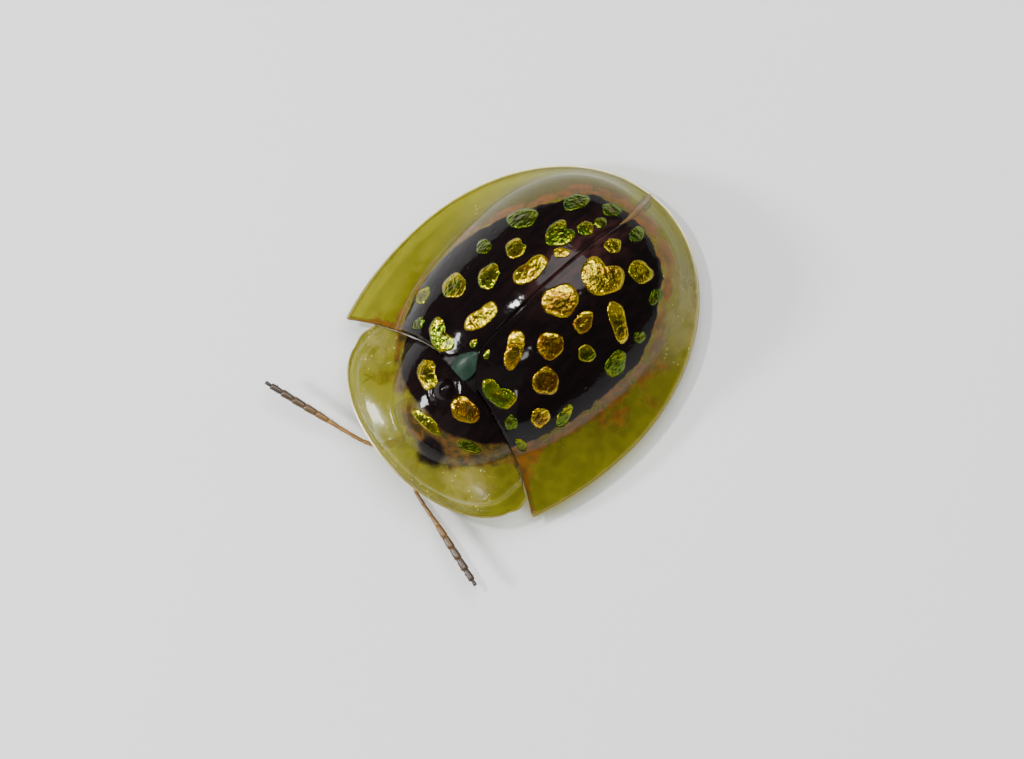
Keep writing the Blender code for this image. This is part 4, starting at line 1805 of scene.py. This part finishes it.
@dataclass
class Head:
    """The head under the shield: skull, face, mouth parts and faceted eyes."""

    horn: Material
    eye: Material
    skull: Lump = Lump((0.0, 1.15, 0.62), (0.6, 0.43, 0.43), 48, 0.35)
    mouth_share: float = 0.55
    temple_height: float = 0.62
    brow: Lump = Lump((0.0, 0.82, 0.66), (0.24, 0.08, 0.17), 32, 0.15)
    lip: Lump = Lump((0.0, 0.83, 0.46), (0.25, 0.12, 0.13), 32, 0.05)
    socket: Lump = Lump((0.46, 1.08, 0.68), (0.24, 0.33, 0.34), 32, 0.5)
    feeler_root: Lump = Lump((0.2, 0.74, 0.5), (0.09, 0.08, 0.09), 24, 0.2)
    jaw_route: tuple[Place, ...] = ((0.2, 0.88, 0.34), (0.16, 0.78, 0.3), (0.03, 0.73, 0.28))
    jaw_radii: tuple[float, float] = (0.085, 0.03)
    palp_route: tuple[Place, ...] = ((0.22, 0.98, 0.36), (0.29, 0.84, 0.24), (0.27, 0.7, 0.16))
    palp_radius: float = 0.045
    palp_swell: float = 0.012
    palp_tip: float = 0.02
    eye_centre: Place = (0.57, 1.05, 0.7)
    eye_radii: Place = (0.25, 0.29, 0.31)
    lens_profile: tuple[tuple[float, float], ...] = ((-0.4, 0.5), (0.0, 0.5), (0.22, 0.36), (0.32, 0.16))
    lens_width: float = 0.046
    lens_sink: float = 0.94
    lenses: int = 900
    form: Form = field(default_factory=Form)

    def add_skull(self) -> None:
        """Adds the skull, widest between the eyes and narrow at the mouth, before all else."""
        self.skull.add_to(self.form)
        bottom = self.skull.centre[2] - self.skull.radii[2]
        for point in self.form.points:
            share = clamp((point.z / MM - bottom) / (self.temple_height - bottom))
            point.x *= mix(self.mouth_share, 1.0, math.sin(math.pi / 2 * share))

    def add_mouth_parts(self, side: Side) -> None:
        """Adds one jaw and one palp.

        Args:
            side: Which side they are on.
        """
        jaw = bend([flip(spot, side) for spot in self.jaw_route], 6)
        radii = [mix(*self.jaw_radii, share) for share in shares(len(jaw) - 1)]
        self.form.add_loft(limb_rings(jaw, radii, 16), {"dusk": [0.9] * len(jaw)})
        palp = bend([flip(spot, side) for spot in self.palp_route], 9)
        waves = [math.cos(2 * math.pi * k / 6) for k in range(len(palp) - 1)]
        radii = [self.palp_radius + self.palp_swell * wave for wave in waves]
        rings = limb_rings(palp, [*radii, self.palp_tip], 14)
        self.form.add_loft(rings, {"dusk": [0.1] * len(palp)})

    def face(self) -> Piece:
        """Builds the skull with its brow, face plate, lip, jaws and palps.

        Returns:
            The piece.
        """
        self.add_skull()
        self.brow.add_to(self.form)
        self.lip.add_to(self.form)
        for side in Side:
            self.socket.add_to(self.form, side)
            self.feeler_root.add_to(self.form, side)
            self.add_mouth_parts(side)
        return self.form.build("head_skull", self.horn)

    def eye_piece(self, side: Side) -> Piece:
        """Builds one eye from lenses spread evenly over a rounded form.

        Args:
            side: Which eye.

        Returns:
            The piece.
        """
        points = CopyPoints()
        golden = math.pi * (3 - math.sqrt(5))
        wide = self.lens_width * MM
        centre = flip(self.eye_centre, side)
        for k in range(self.lenses):
            z = 1 - 2 * (k + 0.5) / self.lenses
            ring = math.sqrt(1 - z * z)
            unit = (ring * math.cos(golden * k), ring * math.sin(golden * k), z)
            offset = [a * b * self.lens_sink for a, b in zip(unit, self.eye_radii)]
            ahead = Vector([a / b for a, b in zip(unit, self.eye_radii)]).normalized()
            points.add_copy(place(*[a + b for a, b in zip(centre, offset)]), ahead, wide, wide)
        lens = lofted("eye lens", self.eye, turned_rings(self.lens_profile, 6))
        return points.dress(f"eye_facets_{side.label}", lens, self.eye)

    def build(self) -> None:
        """Builds the head and both eyes."""
        hand_in(self.face(), "brown_belly", "head")
        for side in Side:
            hand_in(self.eye_piece(side), "black_eye", f"eye_{side.label}")


# Trunk


@dataclass
class Trunk:
    """The belly side: the ring under the shield, the chest and the belly rings."""

    cover: CoverForm
    horn: Material
    belly_height: float = 0.78
    waist: float = 0.35
    sides: int = 64
    keel_width: float = 0.08
    neck_reach: tuple[float, float] = (1.44, 2.56)
    neck_half_widths: tuple[float, float] = (0.4, 0.93)
    neck_tops: tuple[float, float] = (0.95, 1.6)
    neck_bottom: float = 0.5
    neck_keel: float = 0.05
    chest_reach: tuple[float, float] = (2.54, 4.8)
    chest_half_widths: tuple[float, float] = (1.0, 1.62)
    chest_seams: tuple[tuple[float, float], ...] = ((0.28, 0.015), (0.97, 0.02))
    chest_groove: float = 0.035
    belly_reach: tuple[float, float] = (4.8, 7.05)
    belly_half_width: float = 1.5
    belly_rise: float = 0.35
    belly_rings: int = 5
    ring_steps: int = 14
    lip: float = 0.05

    def ring(self, behind: float, half_width: float, top: float, bottom: float, keel: float) -> list[Vector]:
        """One section, domed above and flatter below, with a groove or keel along its middle.

        Args:
            behind: Its place along the body.
            half_width: Half its width.
            top: Its upper height.
            bottom: Its lower height.
            keel: How far its middle stands out below, less than 0 for a groove.

        Returns:
            The section's points.
        """
        middle = mix(bottom, top, self.waist)
        points = []
        for across, up in circle(self.sides):
            height = (top - middle) * up if up > 0 else (middle - bottom) * up
            if up < 0:
                height -= keel * bell(across, 0, self.keel_width)
            points.append(place(half_width * across, behind, middle + height))
        return points

    def neck(self) -> Piece:
        """Builds the ring under the shield, with the keel between the front legs.

        Returns:
            The ring.
        """
        rings = []
        for share in shares(24):
            half_width = mix(*self.neck_half_widths, math.sin(math.pi / 2 * min(share * 1.6, 1)))
            top = mix(*self.neck_tops, min(share * 1.5, 1))
            keel = self.neck_keel * math.sin(math.pi * share)
            bottom = mix(self.neck_bottom, self.belly_height, min(share * 3, 1)) - keel
            rings.append(self.ring(mix(*self.neck_reach, share), half_width, top, bottom, keel))
        return lofted("neck_ring", self.horn, rings, {"dusk": [0.2] * len(rings)})

    def chest(self) -> Piece:
        """Builds the chest with its cross seams and its groove along the middle.

        Returns:
            The chest.
        """
        rings, dusk = [], []
        for share in shares(60):
            behind = mix(*self.chest_reach, share)
            seam = sum(bell(share, *line) for line in self.chest_seams)
            half_width = mix(*self.chest_half_widths, math.sin(math.pi / 2 * share)) - 0.03 * seam
            top = self.cover.height(0, behind) - 0.5
            bottom = self.belly_height + 0.04 * seam
            rings.append(self.ring(behind, half_width, top, bottom, -self.chest_groove))
            dusk.append(clamp(seam))
        return lofted("chest", self.horn, rings, {"dusk": dusk})

    def belly(self) -> Piece:
        """Builds the belly, whose rings overlap like roof tiles.

        Returns:
            The belly.
        """
        rings, dusk = [], []
        for share in shares(self.belly_rings * self.ring_steps):
            behind = mix(*self.belly_reach, share)
            part = share * self.belly_rings % 1.0
            lip = self.lip * part**2 * (1 - clamp((part - 0.9) / 0.1))
            taper = math.sqrt(1 - (0.95 * share) ** 2.2)
            half_width = self.belly_half_width * taper + lip
            bottom = self.belly_height + self.belly_rise * share**2 - lip
            top = mix(bottom, self.cover.height(0, behind) - 0.8, taper)
            rings.append(self.ring(behind, half_width, top, bottom, 0.0))
            dusk.append(0.8 * clamp((part - 0.85) / 0.15))
        return lofted("belly", self.horn, rings, {"dusk": dusk})

    def build(self) -> None:
        """Builds the whole trunk."""
        hand_in(self.neck(), "brown_belly", "prothorax")
        hand_in(self.chest(), "brown_belly", "thorax")
        hand_in(self.belly(), "brown_belly", "abdomen")


@dataclass
class Plate:
    """The small triangular plate between the wing covers' bases."""

    cover: CoverForm
    finish: Material
    bed_finish: Material
    half_width: float = 0.26
    front: float = 2.36
    tip: float = 3.0
    rise: float = 0.08
    sink: float = 0.03
    steps: int = 24
    thickness: float = 0.1
    bed_half_width: float = 0.5
    bed_reach: tuple[float, float] = (2.36, 3.05)
    bed_depth: float = 0.12

    def plate_point(self, u: float, v: float) -> Vector:
        """A point of the plate's upper face.

        Args:
            u: 0 at its right edge and 1 at its left one.
            v: 0 at its front and 1 at its tip.

        Returns:
            The point.
        """
        across = 2 * u - 1
        width = self.half_width * math.sin(math.pi * mix(0.2, 0.99, v)) ** 0.6
        x, behind = across * width, mix(self.front, self.tip, v)
        lift = self.rise * (1 - across**2) * math.sin(math.pi * mix(0.1, 1.0, v)) ** 0.5
        return place(x, behind, self.cover.height(x, behind) - self.sink + lift)

    def bed_point(self, u: float, v: float) -> Vector:
        """A point of the dark bed that fills the notch under the plate."""
        x, behind = self.bed_half_width * (2 * u - 1), mix(*self.bed_reach, v)
        return place(x, behind, self.cover.height(x, behind) - self.bed_depth)

    def build(self) -> None:
        """Builds the plate as a low cushion on its dark bed."""
        size = (self.steps, self.steps)
        plate = laid_sheet("small_plate", self.finish, size, self.plate_point, self.thickness)
        hand_in(plate, "dark_shell", "scutellum")
        bed = laid_sheet("plate_bed", self.bed_finish, size, self.bed_point, self.thickness)
        hand_in(bed, "dark_shell")


# Legs


class Pair(Enum):
    """The pairs of legs: across and behind of each hip, knee, ankle and toe."""

    FRONT = ((0.42, 2.0), (1.2, 1.65), (1.42, 1.3), (1.75, 0.95))
    MIDDLE = ((0.5, 3.35), (1.4, 3.15), (1.75, 3.05), (2.12, 2.95))
    HIND = ((0.5, 4.45), (1.3, 5.05), (1.58, 5.4), (1.85, 5.75))

    @property
    def label(self) -> str:
        """The pair's name as used in piece names."""
        return self.name.lower()


@dataclass
class Leg:
    """One leg: hip, thigh, shin, four-part foot and two claws.

    Each of the foot's parts gives where it starts and ends, as shares of the way from ankle
    to toe, and half its width.
    """

    pair: Pair
    side: Side
    horn: Material
    hair: Material
    hip_height: float = 0.46
    hip_lift: float = 0.14
    hip_radii: Place = (0.24, 0.22, 0.22)
    knee_height: float = 0.62
    ankle_height: float = 0.07
    thigh_radius: float = 0.19
    shin_radius: float = 0.1
    foot_height: float = 0.07
    foot_parts: tuple[tuple[float, float, float], ...] = (
        (-0.12, 0.26, 0.11),
        (0.24, 0.5, 0.12),
        (0.46, 0.82, 0.17),
        (0.7, 1.0, 0.07),
    )
    claw_length: float = 0.24
    claw_spread: float = 0.42
    claw_root: float = 0.06
    claw_radii: tuple[float, float] = (0.036, 0.007)
    lean: Place = (1.0, 0.0, -0.3)
    bristles: Bristles = Bristles(length=0.09, width=0.006, density=45)
    form: Form = field(default_factory=Form)

    def __post_init__(self) -> None:
        """Finds the places of the joints, and of the ankle and toe on the floor."""
        hip, knee, ankle, toe = [(self.side.value * x, behind) for x, behind in self.pair.value]
        self.socket = (*hip, self.hip_height + self.hip_lift)
        self.hip = place(*hip, self.hip_height)
        self.knee = place(*knee, self.knee_height)
        self.ankle = place(*ankle, self.ankle_height)
        self.heel = place(*ankle, 0)
        self.toe = place(*toe, 0)

    def add_thigh(self) -> None:
        """Adds the ball of the hip and the spindle-shaped thigh."""
        self.form.add_ball(self.socket, self.hip_radii, 28, {"dusk": 0.3})
        path = [self.hip.lerp(self.knee, share) for share in shares(16)]
        swells = [math.sin(math.pi * (0.12 + 0.78 * share)) ** 0.8 for share in shares(16)]
        radii = [self.thigh_radius * swell for swell in swells]
        self.form.add_loft(limb_rings(path, radii, 24, 0.85), {"dusk": [0.15] * len(path)})

    def add_shin(self) -> None:
        """Adds the shin, which widens towards the foot."""
        path, radii, dusk = [], [], []
        for share in shares(14):
            path.append(self.knee.lerp(self.ankle, mix(-0.08, 1.0, share)))
            widen = mix(0.72, 1.3, share**1.5) * min(1, 0.5 + 4 * share)
            radii.append(self.shin_radius * widen)
            dusk.append(0.5 * clamp(1 - share / 0.12))
        radii[-1] *= 0.8
        self.form.add_loft(limb_rings(path, radii, 20, 0.8), {"dusk": dusk})

    def sole_ring(self, centre: Vector, side: Vector, height: float) -> list[Vector]:
        """A section of a foot part, flat on the floor and round above.

        Args:
            centre: Its middle on the floor.
            side: The way across the foot, as long as half the section's width.
            height: Its height in metres.

        Returns:
            The section's points.
        """
        ring = []
        for across, up in circle(20):
            point = centre + side * across
            ring.append(Vector((point.x, point.y, height * clamp(up * 0.62 + 0.38))))
        return ring

    def add_foot(self) -> None:
        """Adds the foot's four flat-soled parts."""
        ahead = self.toe - self.heel
        side = ahead.cross(Vector((0, 0, 1))).normalized()
        for start, end, half_width in self.foot_parts:
            rings = []
            for share in shares(10):
                centre = self.heel + ahead * mix(start, end, share)
                round_off = math.sin(math.pi * mix(0.08, 0.9, share)) ** 0.6
                notch = 1 - 0.25 * clamp((share - 0.7) / 0.3)
                width = half_width * round_off * notch * mix(0.75, 1.1, share) * MM
                height = (self.foot_height + 0.5 * half_width) * round_off * MM
                rings.append(self.sole_ring(centre, side * width, height))
            self.form.add_loft(rings, {"dusk": [0.35 * share for share in shares(10)]})

    def add_claws(self) -> None:
        """Adds the two claws, which spread from the toe and curve down to the floor."""
        ahead = (self.toe - self.heel).normalized()
        side = ahead.cross(Vector((0, 0, 1)))
        root = self.toe - ahead * self.claw_root * MM
        radii = [mix(*self.claw_radii, share**0.8) for share in shares(9)]
        for sign in (1, -1):
            path = []
            for share in shares(9):
                way = ahead + side * sign * self.claw_spread * share**0.6
                reach = way * share * self.claw_length * MM
                height = (0.08 + 0.1 * math.sin(math.pi * share * 0.9) - 0.06 * share**3) * MM
                path.append(Vector((*(root + reach).xy, height)))
            self.form.add_loft(limb_rings(path, radii, 10), {"dusk": [0.9] * len(path)})

    def build(self) -> None:
        """Builds the leg with its bristles."""
        self.add_thigh()
        self.add_shin()
        self.add_foot()
        self.add_claws()
        name = f"{self.pair.label}_leg_{self.side.label}"
        piece = self.form.build(name, self.horn)
        hand_in(piece, "amber_limb", f"leg_{self.pair.label}_{self.side.label}")
        hairs = self.bristles.grow(f"{name}_bristles", piece, flip(self.lean, self.side), self.hair)
        hand_in(hairs, "amber_limb")


# Studio


@dataclass(frozen=True)
class Lamp:
    """A soft square lamp that faces the beetle, with sizes in millimetres and power in watts."""

    name: str
    direction: Place
    away: float
    size: float
    power: float

    def build(self) -> None:
        """Adds the lamp to the scene."""
        light = bpy.data.lights.new(self.name, "AREA")
        light.size = self.size * MM
        light.energy = self.power
        lamp = bpy.data.objects.new(self.name, light)
        towards = Vector(self.direction).normalized()
        lamp.location = towards * self.away * MM
        lamp.rotation_euler = towards.to_track_quat("Z", "Y").to_euler()
        bpy.context.scene.collection.objects.link(lamp)


@dataclass
class Studio:
    """Pale floor, soft lights and the camera."""

    aim: Place = (0.5, -0.425, 0.62)
    tilt: float = math.radians(11.6)
    turn: float = math.radians(43.33)
    distance: float = 100.0
    lens: float = 165.2
    floor_half_width: float = 300.0
    sky: float = 0.21
    lamps: tuple[Lamp, ...] = (
        Lamp("key", (-0.08, 0.42, 0.9), 200, 140, 0.5),
        Lamp("spark", (-0.29, -0.17, 0.94), 120, 8, 0.08),
        Lamp("brim light", (-0.5, -0.66, 0.56), 120, 20, 0.15),
        Lamp("arc light", (0.39, -0.35, 0.85), 120, 10, 0.008),
        Lamp("fill", (0.3, -0.8, 0.45), 220, 200, 0.05),
    )

    def floor(self) -> None:
        """Builds the floor."""
        reach = self.floor_half_width * MM
        corners = [Vector((x * reach, y * reach, 0)) for x, y in ((-1, -1), (1, -1), (1, 1), (-1, 1))]
        form = Form()
        form.add(corners, [(0, 1, 2, 3)])
        form.build("studio_floor", FloorFinish().make(), upward=True)

    def camera(self) -> None:
        """Adds the camera, nearly above the beetle and turned so that the head is lower left."""
        away = Vector((math.sin(self.tilt), 0, math.cos(self.tilt)))
        along = Vector((0, 1, 0))
        side = Vector((math.cos(self.tilt), 0, -math.sin(self.tilt)))
        right = along * math.cos(self.turn) + side * math.sin(self.turn)
        up = along * math.sin(self.turn) - side * math.cos(self.turn)
        data = bpy.data.cameras.new("camera")
        data.lens = self.lens
        data.sensor_width = 36.0
        data.clip_start = 0.001
        data.clip_end = 10.0
        camera = bpy.data.objects.new("camera", data)
        turned = camera.matrix_world.copy()
        for row in range(3):
            turned[row][0], turned[row][1], turned[row][2] = right[row], up[row], away[row]
            turned[row][3] = self.aim[row] * MM + away[row] * self.distance * MM
        camera.matrix_world = turned
        bpy.context.scene.collection.objects.link(camera)
        bpy.context.scene.camera = camera

    def build(self) -> None:
        """Builds the whole studio."""
        self.camera()
        self.floor()
        for lamp in self.lamps:
            lamp.build()
        world = bpy.data.worlds.new("studio")
        world.use_nodes = True
        background = world.node_tree.nodes["Background"]
        background.inputs["Color"].default_value = (1.0, 1.0, 1.0, 1.0)
        background.inputs["Strength"].default_value = self.sky
        bpy.context.scene.world = world


def main() -> None:
    """Builds the beetle and its studio, in order."""
    logging.basicConfig(level=logging.INFO, format="%(message)s")
    log.info("solids in the frame: %d", len(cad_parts))
    Studio().build()
    cover = CoverForm()
    gold = GoldFinish().make()
    # Rim beads: the light colour is a painted highlight and the dark one painted shade.
    bead = HornFinish(
        "rim bead", (0.95, 0.85, 0.4), (0.2, 0.16, 0.015), roughness=0.16, gloss=0.5, coat=0.6
    ).make()
    horn = HornFinish("amber limb", (0.44, 0.21, 0.03), (0.045, 0.032, 0.024), coat=0.0).make()
    feeler = HornFinish("feeler horn", (0.24, 0.115, 0.014), (0.032, 0.024, 0.019), coat=0.0).make()
    hair = HornFinish("amber hair", (0.3, 0.17, 0.05), (0.2, 0.11, 0.04), coat=0.0).make()
    belly = HornFinish("brown belly", (0.06, 0.022, 0.01), (0.012, 0.006, 0.004)).make()
    eye = HornFinish("dark eye", (0.012, 0.01, 0.01), (0.004, 0.004, 0.005), roughness=0.14).make()
    plate = HornFinish(
        "small plate", (0.015, 0.034, 0.022), (0.002, 0.007, 0.004), lump=0.07, gloss=0.12, coat=0.0
    ).make()
    black = HornFinish(
        "black horn", (0.004, 0.003, 0.003), (0.002, 0.002, 0.002), gloss=0.1, coat=0.0
    ).make()
    ridge = HornFinish("seam ridge", (0.15, 0.085, 0.02), (0.08, 0.035, 0.01), gloss=0.2, coat=0.0).make()
    shield = ShieldForm(cover)
    wing_shell = ShellFinish("wing cover shell").make()
    WingCovers(cover, shield, wing_shell, gold, bead, ridge, black).build()
    shield_shell = ShellFinish(
        "shield shell",
        rust=(0.095, 0.036, 0.005),
        dusky=(0.02, 0.012, 0.004),
        coat=0.2,
        softness=0.18,
    ).make()
    Shield(shield, shield_shell, gold, bead).build()
    Plate(cover, plate, black).build()
    Head(belly, eye).build()
    Feelers(feeler, hair).build()
    Trunk(cover, belly).build()
    for side in Side:
        for pair in Pair:
            Leg(pair, side, horn, hair).build()


if __name__ == "__main__":
    main()
